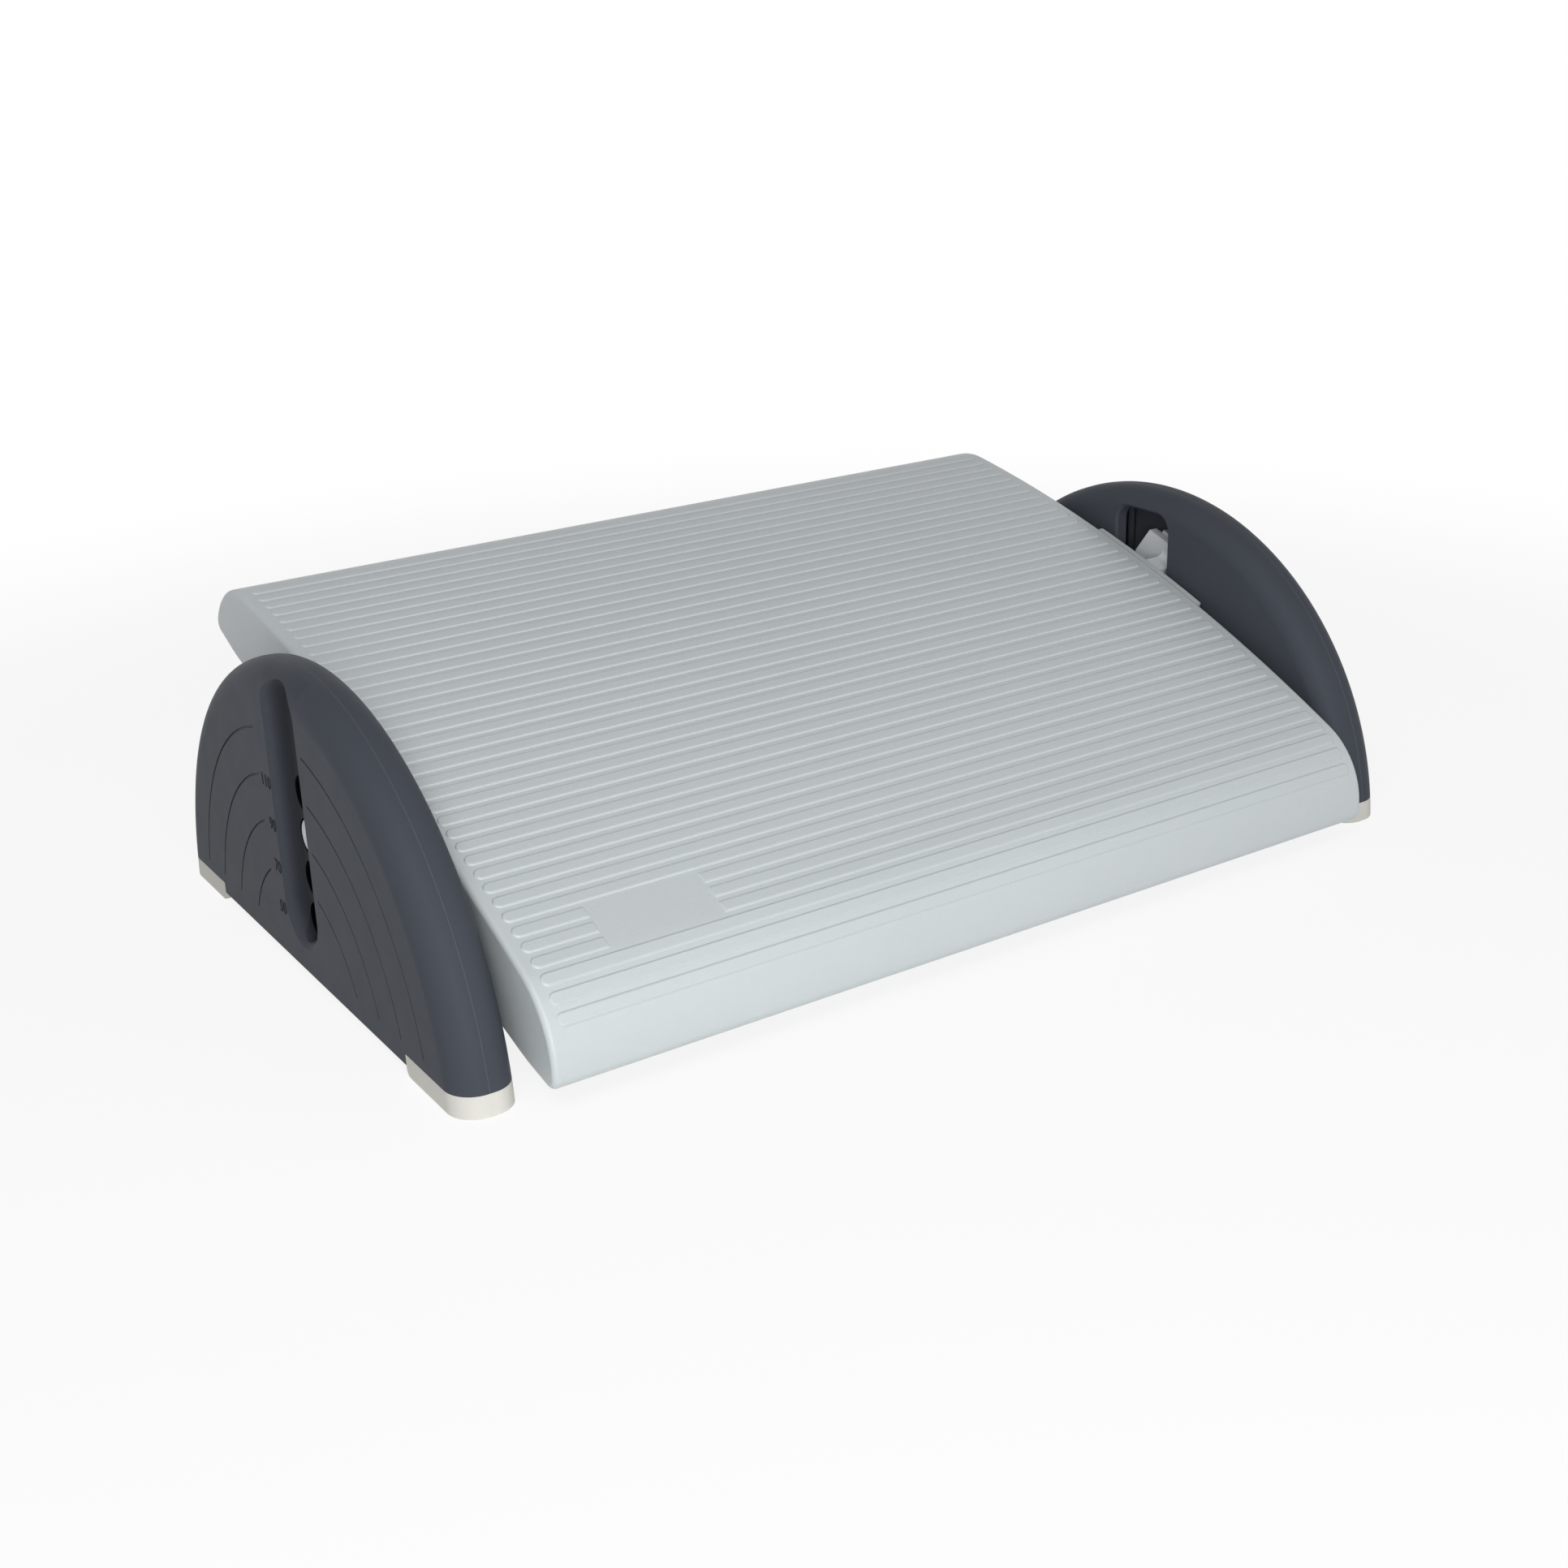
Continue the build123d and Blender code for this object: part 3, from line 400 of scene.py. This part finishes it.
for side, outwards in SIDES.items():
    shell_low, shell_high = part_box(f"{side}_outer_shell")
    pin_low, pin_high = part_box(f"{side}_lock_button")
    pin_middle = (pin_low + pin_high) / 2
    collar_end = end_x(pin_low, pin_high, -outwards)
    collar_start = collar_end + outwards * COLLAR_THICKNESS
    collar_share = (pin_high.z - pin_low.z) / BUTTON_DIAMETER
    button_face = end_x(shell_low, shell_high, outwards) - outwards * (CHANNEL_DEPTH + BUTTON_SHY)
    bpy.ops.object.select_all(action="DESELECT")
    bpy.ops.mesh.primitive_cylinder_add(
        vertices=BUTTON_SIDES,
        radius=BUTTON_DIAMETER / 2,
        depth=abs(button_face - collar_start),
        location=((button_face + collar_start) / 2, pin_middle.y, pin_middle.z),
        rotation=(0, outwards * radians(90), 0),
    )
    button = bpy.context.object
    button.name = f"{side}_button_pin"
    bpy.ops.object.transform_apply(location=True, rotation=True, scale=True)
    bpy.ops.object.mode_set(mode="EDIT")
    select_faces(button, lambda normal: normal.x * outwards > FACING)
    bpy.ops.mesh.bevel(offset=BUTTON_RIM, segments=BUTTON_RIM_STEPS, affect="EDGES")
    select_faces(button, lambda normal: normal.x * outwards > SQUARE_TO)
    bpy.ops.mesh.inset(thickness=BUTTON_RIM, depth=0)
    bpy.ops.mesh.inset(thickness=BUTTON_RIM, depth=-BUTTON_DISH)
    select_faces(button, lambda normal: normal.x * outwards < -FACING)
    extrude_by(0, 0, 0)
    bpy.ops.transform.resize(value=(1, collar_share, collar_share), center_override=tuple(pin_middle))
    extrude_by(collar_end - collar_start, 0, 0)
    bpy.ops.object.mode_set(mode="OBJECT")
    bpy.ops.object.shade_smooth_by_angle(angle=BUTTON_CREASE)
    button.data.materials.append(arm_plastic)
    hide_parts(f"{side}_lock_button")
    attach(button, f"{side}_button")


# Button springs: round zinc plated wire, wound in the arm's tube between its cap and the button's
# collar. The real ones shorten towards the cap when the buttons are pressed; these keep one length.
SPRING_WIRE = 0.0012
SPRING_TURNS = 6
SPRING_STEPS = 28
SPRING_CREASE = radians(50)
joints = {joint["name"]: joint for joint in frame["joints"]}
for side, outwards in SIDES.items():
    spring_low, spring_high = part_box(f"{side}_button_spring")
    spring_middle = (spring_low + spring_high) / 2
    spring_length = spring_high.x - spring_low.x
    winding_radius = (spring_high.z - spring_low.z - SPRING_WIRE) / 2
    wire_start = (spring_low.x + SPRING_WIRE / 2, winding_radius, 0)
    spring = wire_ring(f"{side}_spring_wire", SPRING_WIRE / 2, wire_start)
    bpy.ops.object.mode_set(mode="OBJECT")
    winding = spring.modifiers.new("winding", "SCREW")
    winding.axis = "X"
    winding.iterations = SPRING_TURNS
    winding.screw_offset = (spring_length - SPRING_WIRE) / SPRING_TURNS
    winding.steps = SPRING_STEPS
    winding.render_steps = SPRING_STEPS
    bpy.ops.object.modifier_apply(modifier="winding")
    spring.location = (0, spring_middle.y, spring_middle.z)
    bpy.ops.object.transform_apply(location=True, rotation=True, scale=True)
    bpy.ops.object.mode_set(mode="EDIT")
    bpy.ops.mesh.select_all(action="SELECT")
    bpy.ops.mesh.fill_holes(sides=WIRE_SIDES)
    bpy.ops.mesh.select_all(action="SELECT")
    bpy.ops.mesh.normals_make_consistent(inside=False)
    bpy.ops.object.mode_set(mode="OBJECT")
    bpy.ops.object.shade_smooth_by_angle(angle=SPRING_CREASE)
    spring.data.materials.append(zinc_steel)
    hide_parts(f"{side}_button_spring")
    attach(spring, "deck")
    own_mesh(spring)


# Deck: one light grey moulding, crowned from front to rear and open below, with raised cross ribs for
# grip, stiffeners under the tread, and a pad and an eye on each side where the arms are screwed on.
DECK_COLOUR = (0.53, 0.57, 0.585, 1.0)
DECK_ROUGHNESS = 0.41
DECK_GRAIN = 0.00012
DECK_GRAIN_SCALE = 1300.0
DECK_TONE_CHANGE = 0.05
DECK_CREASE = radians(38)
DECK_TILT = radians(17.5)
DECK_LENGTH = 0.357
DECK_RISE = 0.042
DECK_DROP = 0.006
DECK_WALL = 0.0024
CROWN_RADIUS = 1.000
CROWN_STEPS = 72
NOSE_RADIUS = 0.040
NOSE_STEPS = 20
LOWER_EDGE = 0.006
LOWER_EDGE_STEPS = 8
SIDE_EDGE = 0.0025
SIDE_EDGE_STEPS = 5
PAD_THICKNESS = 0.003
SAME_PLACE = 0.0001
MERGE_DISTANCE = 0.00001
deck_plastic = grained_finish(
    "deck_plastic",
    DECK_COLOUR,
    DECK_ROUGHNESS,
    DECK_GRAIN,
    grain_scale=DECK_GRAIN_SCALE,
    tone_change=DECK_TONE_CHANGE,
)
deck_low, deck_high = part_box("deck")
half_width = (deck_high.x - deck_low.x) / 2 - PAD_THICKNESS
nose_y = DECK_LENGTH / 2 - NOSE_RADIUS
nose_angle = asin(nose_y / (CROWN_RADIUS - NOSE_RADIUS))
crown_z = DECK_RISE - CROWN_RADIUS
nose_z = crown_z + (CROWN_RADIUS - NOSE_RADIUS) * cos(nose_angle)
lower_z = LOWER_EDGE - DECK_DROP
lower_y = nose_y + sqrt((NOSE_RADIUS - LOWER_EDGE) ** 2 - (lower_z - nose_z) ** 2)
lower_angle = atan2(lower_y - nose_y, lower_z - nose_z)


def select_points(piece, wanted):
    """In edit mode, select only the points whose place is wanted."""
    bpy.ops.mesh.select_mode(type="VERT")
    bpy.ops.mesh.select_all(action="DESELECT")
    mesh = bmesh.from_edit_mesh(piece.data)
    for point in mesh.verts:
        if wanted(point.co):
            point.select_set(True)
    mesh.select_flush_mode()
    bmesh.update_edit_mesh(piece.data)


def select_edges(piece, wanted):
    """In edit mode, select only the edges whose two ends are wanted."""
    bpy.ops.mesh.select_mode(type="EDGE")
    bpy.ops.mesh.select_all(action="DESELECT")
    mesh = bmesh.from_edit_mesh(piece.data)
    for edge in mesh.edges:
        if wanted(edge.verts[0].co, edge.verts[1].co):
            edge.select_set(True)
    bmesh.update_edit_mesh(piece.data)


def first_point(name, place):
    """A new mesh with one point in edit mode, from which an outline is spun."""
    bpy.ops.object.select_all(action="DESELECT")
    bpy.ops.mesh.primitive_plane_add()
    bpy.context.object.name = name
    bpy.ops.object.mode_set(mode="EDIT")
    bpy.ops.mesh.select_mode(type="VERT")
    bpy.ops.mesh.select_all(action="SELECT")
    bpy.ops.mesh.merge(type="CENTER")
    bpy.ops.transform.translate(value=place)
    return bpy.context.object


def spin_on(centre, angle, steps):
    """Carry the outline on along an arc, from the rear over the top to the front."""
    bpy.ops.mesh.spin(steps=steps, angle=angle, center=centre, axis=(-1, 0, 0))


left_x = -half_width
deck = first_point("deck_shell", (left_x, lower_y, -DECK_DROP))
spin_on((left_x, lower_y, lower_z), pi - lower_angle, LOWER_EDGE_STEPS)
spin_on((left_x, nose_y, nose_z), lower_angle - nose_angle, NOSE_STEPS)
spin_on((left_x, 0, crown_z), 2 * nose_angle, CROWN_STEPS)
spin_on((left_x, -nose_y, nose_z), lower_angle - nose_angle, NOSE_STEPS)
spin_on((left_x, -lower_y, lower_z), pi - lower_angle, LOWER_EDGE_STEPS)
bpy.ops.mesh.select_all(action="SELECT")
bpy.ops.mesh.remove_doubles(threshold=MERGE_DISTANCE)
bpy.ops.mesh.select_all(action="SELECT")
bpy.ops.mesh.extrude_edges_move(TRANSFORM_OT_translate={"value": (2 * half_width, 0, 0)})
for side_x in (-half_width, half_width):
    select_points(deck, lambda place: abs(place.x - side_x) < SAME_PLACE)
    bpy.ops.mesh.edge_face_add()
bpy.ops.mesh.select_all(action="SELECT")
bpy.ops.mesh.normals_make_consistent(inside=False)
select_edges(deck, lambda a, b: abs(a.x - b.x) < SAME_PLACE and abs(a.y - b.y) < DECK_LENGTH / 2)
bpy.ops.mesh.bevel(offset=SIDE_EDGE, segments=SIDE_EDGE_STEPS, affect="EDGES")
bpy.ops.object.mode_set(mode="OBJECT")
wall = deck.modifiers.new("wall", "SOLIDIFY")
wall.thickness = DECK_WALL
wall.offset = -1
bpy.ops.object.modifier_apply(modifier="wall")
deck_pieces = [deck]

# The deck's ribs, from the rear to the front. Three of them stop at a bare field.
RIB_COUNT = 38
RIB_PITCH = 0.00852
RIB_LENGTH = 0.4375
RIB_WIDTH = 0.0064
RIB_ROOT = 0.0004
RIB_ROOT_STEPS = ((0.00008, 0.00034), (0.00014, 0.0001))
RIB_SLOPE_STEPS = ((0.00019, 0.00024), (0.0002, 0.00024))
RIB_TOP_STEPS = ((0.00016, 0.0001), (0.0002, 0.00005), (0.0003, 0.00002))
RIB_END_STEPS = 10
RIB_MERGE_DISTANCE = 0.00002
FIRST_RIB = 0.1464
FIELD_RIBS = (32, 33, 34)
FIELD_WIDTH = 0.0535
FIELD_CENTRE_X = -0.158


def tread_rib(name, start, end, rounded):
    """One raised rib, flat on the ground: a long strip with rounded ends and softly sloping sides."""
    bpy.ops.object.select_all(action="DESELECT")
    bpy.ops.mesh.primitive_plane_add(size=1)
    rib = bpy.context.object
    rib.name = name
    rib.scale = (end - start, RIB_WIDTH, 1)
    rib.location = ((start + end) / 2, 0, 0)
    bpy.ops.object.transform_apply(location=True, rotation=True, scale=True)
    bpy.ops.object.mode_set(mode="EDIT")
    select_points(rib, lambda place: min(abs(place.x - x) for x in rounded) < SAME_PLACE)
    bpy.ops.mesh.bevel(offset=RIB_WIDTH / 2, segments=RIB_END_STEPS, affect="VERTICES", clamp_overlap=True)
    bpy.ops.mesh.select_all(action="SELECT")
    bpy.ops.mesh.remove_doubles(threshold=RIB_MERGE_DISTANCE)
    bpy.ops.mesh.select_mode(type="FACE")
    bpy.ops.mesh.select_all(action="SELECT")
    for inwards, upwards in RIB_ROOT_STEPS + RIB_SLOPE_STEPS + RIB_TOP_STEPS:
        bpy.ops.mesh.inset(thickness=inwards, depth=upwards)
    bpy.ops.mesh.select_mode(type="VERT")
    bpy.ops.object.mode_set(mode="OBJECT")
    return rib


def on_tread(distance):
    """Place and slope of the tread at a distance along it from the top of the crown."""
    crown_length = CROWN_RADIUS * nose_angle
    way = 1 if distance > 0 else -1
    if abs(distance) <= crown_length:
        angle = abs(distance) / CROWN_RADIUS
        place = (0, way * CROWN_RADIUS * sin(angle), crown_z + CROWN_RADIUS * cos(angle))
    else:
        angle = nose_angle + (abs(distance) - crown_length) / NOSE_RADIUS
        place = (0, way * (nose_y + NOSE_RADIUS * sin(angle)), nose_z + NOSE_RADIUS * cos(angle))
    return Matrix.Translation(place) @ Matrix.Rotation(-way * angle, 4, "X")


def copy_piece(piece, name):
    """A copy of a piece with a mesh of its own."""
    bpy.ops.object.select_all(action="DESELECT")
    piece.select_set(True)
    bpy.context.view_layer.objects.active = piece
    bpy.ops.object.duplicate(linked=False)
    bpy.context.object.name = name
    return bpy.context.object


rib_end = RIB_LENGTH / 2
field_left = FIELD_CENTRE_X - FIELD_WIDTH / 2
field_right = FIELD_CENTRE_X + FIELD_WIDTH / 2
full_rib = tread_rib("full_rib", -rib_end, rib_end, (-rib_end, rib_end))
left_rib = tread_rib("left_rib", -rib_end, field_left, (-rib_end,))
right_rib = tread_rib("right_rib", field_right, rib_end, (rib_end,))
for number in range(RIB_COUNT):
    patterns = (left_rib, right_rib) if number in FIELD_RIBS else (full_rib,)
    seat = on_tread(FIRST_RIB - number * RIB_PITCH) @ Matrix.Translation((0, 0, -RIB_ROOT))
    for pattern in patterns:
        rib = copy_piece(pattern, f"{pattern.name}_{number + 1}")
        rib.matrix_world = seat
        deck_pieces.append(rib)
for pattern in (full_rib, left_rib, right_rib):
    bpy.data.objects.remove(pattern)

# The deck's stiffeners, a grid of thin walls under the tread.
STIFFENER_THICKNESS = 0.0022
STIFFENER_LOW_Z = 0.027
STIFFENER_EDGE = 0.0004
STIFFENER_EDGE_STEPS = 2
STIFFENER_ARC_STEPS = 24
STIFFENERS_ACROSS = 4
STIFFENERS_ALONG = 5
in_wall = DECK_WALL / 2
stiffener_arc = CROWN_RADIUS - in_wall
for number in range(STIFFENERS_ACROSS):
    place_y = (number - (STIFFENERS_ACROSS - 1) / 2) * DECK_LENGTH / (STIFFENERS_ACROSS + 1)
    top_z = crown_z + sqrt(stiffener_arc**2 - place_y**2)
    bpy.ops.object.select_all(action="DESELECT")
    bpy.ops.mesh.primitive_cube_add(size=1, location=(0, place_y, (top_z + STIFFENER_LOW_Z) / 2))
    stiffener = bpy.context.object
    stiffener.name = f"cross_stiffener_{number + 1}"
    stiffener.scale = (2 * (half_width - in_wall), STIFFENER_THICKNESS, top_z - STIFFENER_LOW_Z)
    bpy.ops.object.transform_apply(location=True, rotation=True, scale=True)
    bpy.ops.object.mode_set(mode="EDIT")
    low_z = STIFFENER_LOW_Z + SAME_PLACE
    select_edges(stiffener, lambda a, b: max(a.z, b.z) < low_z and abs(a.x - b.x) > half_width)
    bpy.ops.mesh.bevel(offset=STIFFENER_EDGE, segments=STIFFENER_EDGE_STEPS, affect="EDGES")
    bpy.ops.object.mode_set(mode="OBJECT")
    deck_pieces.append(stiffener)


def arched_plate(name, start_x, thickness, arc_radius, half_length, low_z, steps):
    """An upright plate in edit mode, with a straight foot and an arched top that follows the crown."""
    side_z = crown_z + sqrt(arc_radius**2 - half_length**2)
    plate = first_point(name, (start_x, half_length, low_z))
    extrude_by(0, 0, side_z - low_z)
    spin_on((start_x, 0, crown_z), 2 * asin(half_length / arc_radius), steps)
    extrude_by(0, 0, low_z - side_z)
    bpy.ops.mesh.select_all(action="SELECT")
    bpy.ops.mesh.remove_doubles(threshold=MERGE_DISTANCE)
    bpy.ops.mesh.select_all(action="SELECT")
    bpy.ops.mesh.edge_face_add()
    extrude_by(thickness, 0, 0)
    bpy.ops.mesh.select_all(action="SELECT")
    bpy.ops.mesh.normals_make_consistent(inside=False)
    return plate


for number in range(STIFFENERS_ALONG):
    place_x = (number - (STIFFENERS_ALONG - 1) / 2) * 2 * half_width / (STIFFENERS_ALONG + 1)
    stiffener = arched_plate(
        f"long_stiffener_{number + 1}",
        place_x - STIFFENER_THICKNESS / 2,
        STIFFENER_THICKNESS,
        stiffener_arc,
        stiffener_arc * sin(nose_angle),
        STIFFENER_LOW_Z,
        STIFFENER_ARC_STEPS,
    )
    bpy.ops.object.mode_set(mode="OBJECT")
    deck_pieces.append(stiffener)

# The deck's pads and eyes, made on the right and mirrored to the left.
PAD_LENGTH = 0.081
PAD_STEP = 0.0007
PAD_EDGE = 0.0005
PAD_EDGE_STEPS = 3
PAD_ARC_STEPS = 12
EYE_RADIUS = 0.020
EYE_SIDES = 64
pad_start = half_width - SIDE_EDGE
pad_face = half_width + PAD_THICKNESS
right_pad = arched_plate(
    "right_pad",
    pad_start,
    pad_face - pad_start,
    CROWN_RADIUS - PAD_STEP,
    PAD_LENGTH / 2,
    -DECK_DROP,
    PAD_ARC_STEPS,
)
select_edges(right_pad, lambda a, b: min(a.x, b.x) > pad_face - SAME_PLACE)
bpy.ops.mesh.bevel(offset=PAD_EDGE, segments=PAD_EDGE_STEPS, affect="EDGES")
bpy.ops.object.mode_set(mode="OBJECT")
bpy.ops.object.select_all(action="DESELECT")
bpy.ops.mesh.primitive_cylinder_add(
    vertices=EYE_SIDES,
    radius=EYE_RADIUS,
    depth=2 * PAD_THICKNESS,
    location=(half_width, 0, 0),
    rotation=(0, radians(90), 0),
)
right_eye = bpy.context.object
right_eye.name = "right_eye"
bpy.ops.object.transform_apply(location=True, rotation=True, scale=True)
bpy.ops.object.mode_set(mode="EDIT")
select_faces(right_eye, lambda normal: abs(normal.x) > FACING)
bpy.ops.mesh.bevel(offset=PAD_EDGE, segments=PAD_EDGE_STEPS, affect="EDGES")
bpy.ops.object.mode_set(mode="OBJECT")
for right_piece in (right_pad, right_eye):
    left_piece = copy_piece(right_piece, right_piece.name.replace("right", "left"))
    bpy.ops.object.mode_set(mode="EDIT")
    bpy.ops.mesh.select_all(action="SELECT")
    bpy.ops.transform.mirror(constraint_axis=(True, False, False), center_override=(0, 0, 0))
    bpy.ops.mesh.normals_make_consistent(inside=False)
    bpy.ops.object.mode_set(mode="OBJECT")
    deck_pieces += [right_piece, left_piece]

# The whole deck, joined and laid at its slope on the pivot.
bpy.ops.object.select_all(action="DESELECT")
for piece in deck_pieces:
    piece.select_set(True)
bpy.context.view_layer.objects.active = deck
bpy.ops.object.join()
pivot = Vector(joints["tilt"]["pos_m"])
deck.matrix_world = Matrix.Translation(pivot) @ Matrix.Rotation(DECK_TILT, 4, "X")
bpy.ops.object.transform_apply(location=True, rotation=True, scale=True)
bpy.ops.object.shade_smooth_by_angle(angle=DECK_CREASE)
even_shading = deck.modifiers.new("even_shading", "WEIGHTED_NORMAL")
even_shading.keep_sharp = True
bpy.ops.object.modifier_apply(modifier="even_shading")
deck.data.materials.append(deck_plastic)
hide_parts("deck")
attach(deck, "deck")


# Height marks: plain numbers for the height in millimetres, beside each hole on the outer faces.
# They are raised a little in the mould and inked dark, and read from outside the support.
MARK_COLOUR = (0.006, 0.006, 0.007, 1.0)
MARK_ROUGHNESS = 0.55
MARK_GRAIN = 0.00001
MARK_SIZE = 0.0078
MARK_RISE = 0.0001
MARK_WEIGHT = 0.0002
MARK_INNER_Y = 0.0188
MARKS = (50, 70, 90, 110)
REST_MARK = 90
MILLIMETRE = 0.001
mark_ink = grained_finish("mark_ink", MARK_COLOUR, MARK_ROUGHNESS, MARK_GRAIN, gloss=SUPPORT_GLOSS)
for side, outwards in SIDES.items():
    shell_low, shell_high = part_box(f"{side}_outer_shell")
    face_x = end_x(shell_low, shell_high, outwards)
    reading = Vector((0, outwards, 0))
    text_axes = Matrix((reading, (0, 0, 1), (outwards, 0, 0))).transposed().to_4x4()
    for mark in MARKS:
        bpy.ops.object.select_all(action="DESELECT")
        bpy.ops.object.text_add()
        number = bpy.context.object
        number.name = f"{side}_mark_{mark}"
        number.data.body = str(mark)
        number.data.size = MARK_SIZE
        number.data.extrude = MARK_RISE
        number.data.offset = MARK_WEIGHT
        number.data.align_x = "RIGHT" if outwards < 0 else "LEFT"
        number.data.align_y = "CENTER"
        mark_z = pivot.z + (mark - REST_MARK) * MILLIMETRE
        number.matrix_world = Matrix.Translation((face_x, pivot.y + MARK_INNER_Y, mark_z)) @ text_axes
        bpy.ops.object.convert(target="MESH")
        bpy.ops.object.transform_apply(location=True, rotation=True, scale=True)
        number.data.materials.append(mark_ink)
        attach(number, "supports")


# Studio: a pale floor that fades into a white room, a low soft light from the front left, a higher one
# and a faint one from the right for the ribs, and the camera where the photograph was taken from.
WHITE = (1.0, 1.0, 1.0, 1.0)
FLOOR_SIZE = 12.0
FLOOR_COLOUR = (0.90, 0.90, 0.90, 1.0)
FLOOR_ROUGHNESS = 0.9
FLOOR_GLOSS = 0.1
FLOOR_WHITE_SHARE = 0.86
FADE_START = 0.45
FADE_END = 0.95


def background_rays(tree):
    """A value that is 1 on the rays that show the background: camera, glossy and transmission rays."""
    path = tree.nodes.new("ShaderNodeLightPath")
    mirror = math_node(tree, "MAXIMUM", path.outputs["Is Glossy Ray"], path.outputs["Is Transmission Ray"])
    return math_node(tree, "MAXIMUM", path.outputs["Is Camera Ray"], mirror)


def show_blend(tree, share, first, second, output):
    """Show the first shader, and by a share the second one in its place."""
    blend = tree.nodes.new("ShaderNodeMixShader")
    tree.links.new(share, blend.inputs["Fac"])
    tree.links.new(first.outputs[0], blend.inputs[1])
    tree.links.new(second.outputs[0], blend.inputs[2])
    tree.links.new(blend.outputs[0], tree.nodes[output].inputs["Surface"])


bpy.ops.object.select_all(action="DESELECT")
bpy.ops.mesh.primitive_plane_add(size=FLOOR_SIZE, location=(0, 0, 0))
floor = bpy.context.object
floor.name = "floor"
floor_material = bpy.data.materials.new("floor")
floor_material.use_nodes = True
floor_tree = floor_material.node_tree
floor_shader = floor_tree.nodes["Principled BSDF"]
floor_shader.inputs["Base Color"].default_value = FLOOR_COLOUR
floor_shader.inputs["Roughness"].default_value = FLOOR_ROUGHNESS
floor_shader.inputs["Specular IOR Level"].default_value = FLOOR_GLOSS
floor_white = floor_tree.nodes.new("ShaderNodeEmission")
floor_white.inputs["Color"].default_value = WHITE
floor_place = floor_tree.nodes.new("ShaderNodeTexCoord")
distance = floor_tree.nodes.new("ShaderNodeVectorMath")
distance.operation = "LENGTH"
floor_tree.links.new(floor_place.outputs["Object"], distance.inputs[0])
fade = soft_step(floor_tree, distance.outputs["Value"], FADE_START, FADE_END, FLOOR_WHITE_SHARE, 1.0)
white_share = math_node(floor_tree, "MULTIPLY", fade, background_rays(floor_tree))
show_blend(floor_tree, white_share, floor_shader, floor_white, "Material Output")
floor.data.materials.append(floor_material)

WORLD_LIGHT = 0.28
world = bpy.data.worlds.new("studio")
bpy.context.scene.world = world
world.use_nodes = True
world_tree = world.node_tree
room_light = world_tree.nodes["Background"]
room_light.inputs["Color"].default_value = WHITE
room_light.inputs["Strength"].default_value = WORLD_LIGHT
backdrop = world_tree.nodes.new("ShaderNodeBackground")
backdrop.inputs["Color"].default_value = WHITE
backdrop.inputs["Strength"].default_value = 1.0
show_blend(world_tree, background_rays(world_tree), room_light, backdrop, "World Output")

KEY_PLACE = (-0.47, -1.13, 0.31)
KEY_SIZE = 0.6
KEY_POWER = 7.5
HIGH_PLACE = (-0.84, -0.76, 1.25)
HIGH_SIZE = 0.7
HIGH_POWER = 7.2
RIB_LIGHT_PLACE = (0.77, -1.17, 0.65)
RIB_LIGHT_SIZE = 0.3
RIB_LIGHT_POWER = 0.7
LIGHT_TARGET = (0, 0, 0.06)


def softbox(name, place, size, power):
    """A square area light that faces the middle of the object."""
    bpy.ops.object.light_add(type="AREA", location=place)
    lamp = bpy.context.object
    lamp.name = name
    lamp.data.size = size
    lamp.data.energy = power
    aim = Vector(LIGHT_TARGET) - Vector(place)
    lamp.rotation_euler = aim.to_track_quat("-Z", "Y").to_euler()


softbox("key_light", KEY_PLACE, KEY_SIZE, KEY_POWER)
softbox("high_light", HIGH_PLACE, HIGH_SIZE, HIGH_POWER)
softbox("rib_light", RIB_LIGHT_PLACE, RIB_LIGHT_SIZE, RIB_LIGHT_POWER)

CAMERA_PLACE = (-0.533544, -0.81397, 0.417863)
CAMERA_AZIMUTH = radians(-33.040)
CAMERA_ELEVATION = radians(21.692)
CAMERA_ROLL = radians(-1.753)
CAMERA_LENS = 48.187
CAMERA_SENSOR = 36.0
back = Vector(
    (
        sin(CAMERA_AZIMUTH) * cos(CAMERA_ELEVATION),
        -cos(CAMERA_AZIMUTH) * cos(CAMERA_ELEVATION),
        sin(CAMERA_ELEVATION),
    )
)
level = Vector((cos(CAMERA_AZIMUTH), sin(CAMERA_AZIMUTH), 0))
upright = back.cross(level)
right = cos(CAMERA_ROLL) * level + sin(CAMERA_ROLL) * upright
up = cos(CAMERA_ROLL) * upright - sin(CAMERA_ROLL) * level
bpy.ops.object.camera_add(location=CAMERA_PLACE)
camera = bpy.context.object
camera.data.lens = CAMERA_LENS
camera.data.sensor_width = CAMERA_SENSOR
turn = Matrix((right, up, back)).transposed().to_4x4()
camera.matrix_world = Matrix.Translation(CAMERA_PLACE) @ turn
bpy.context.scene.camera = camera
bpy.context.scene.view_settings.view_transform = "Standard"
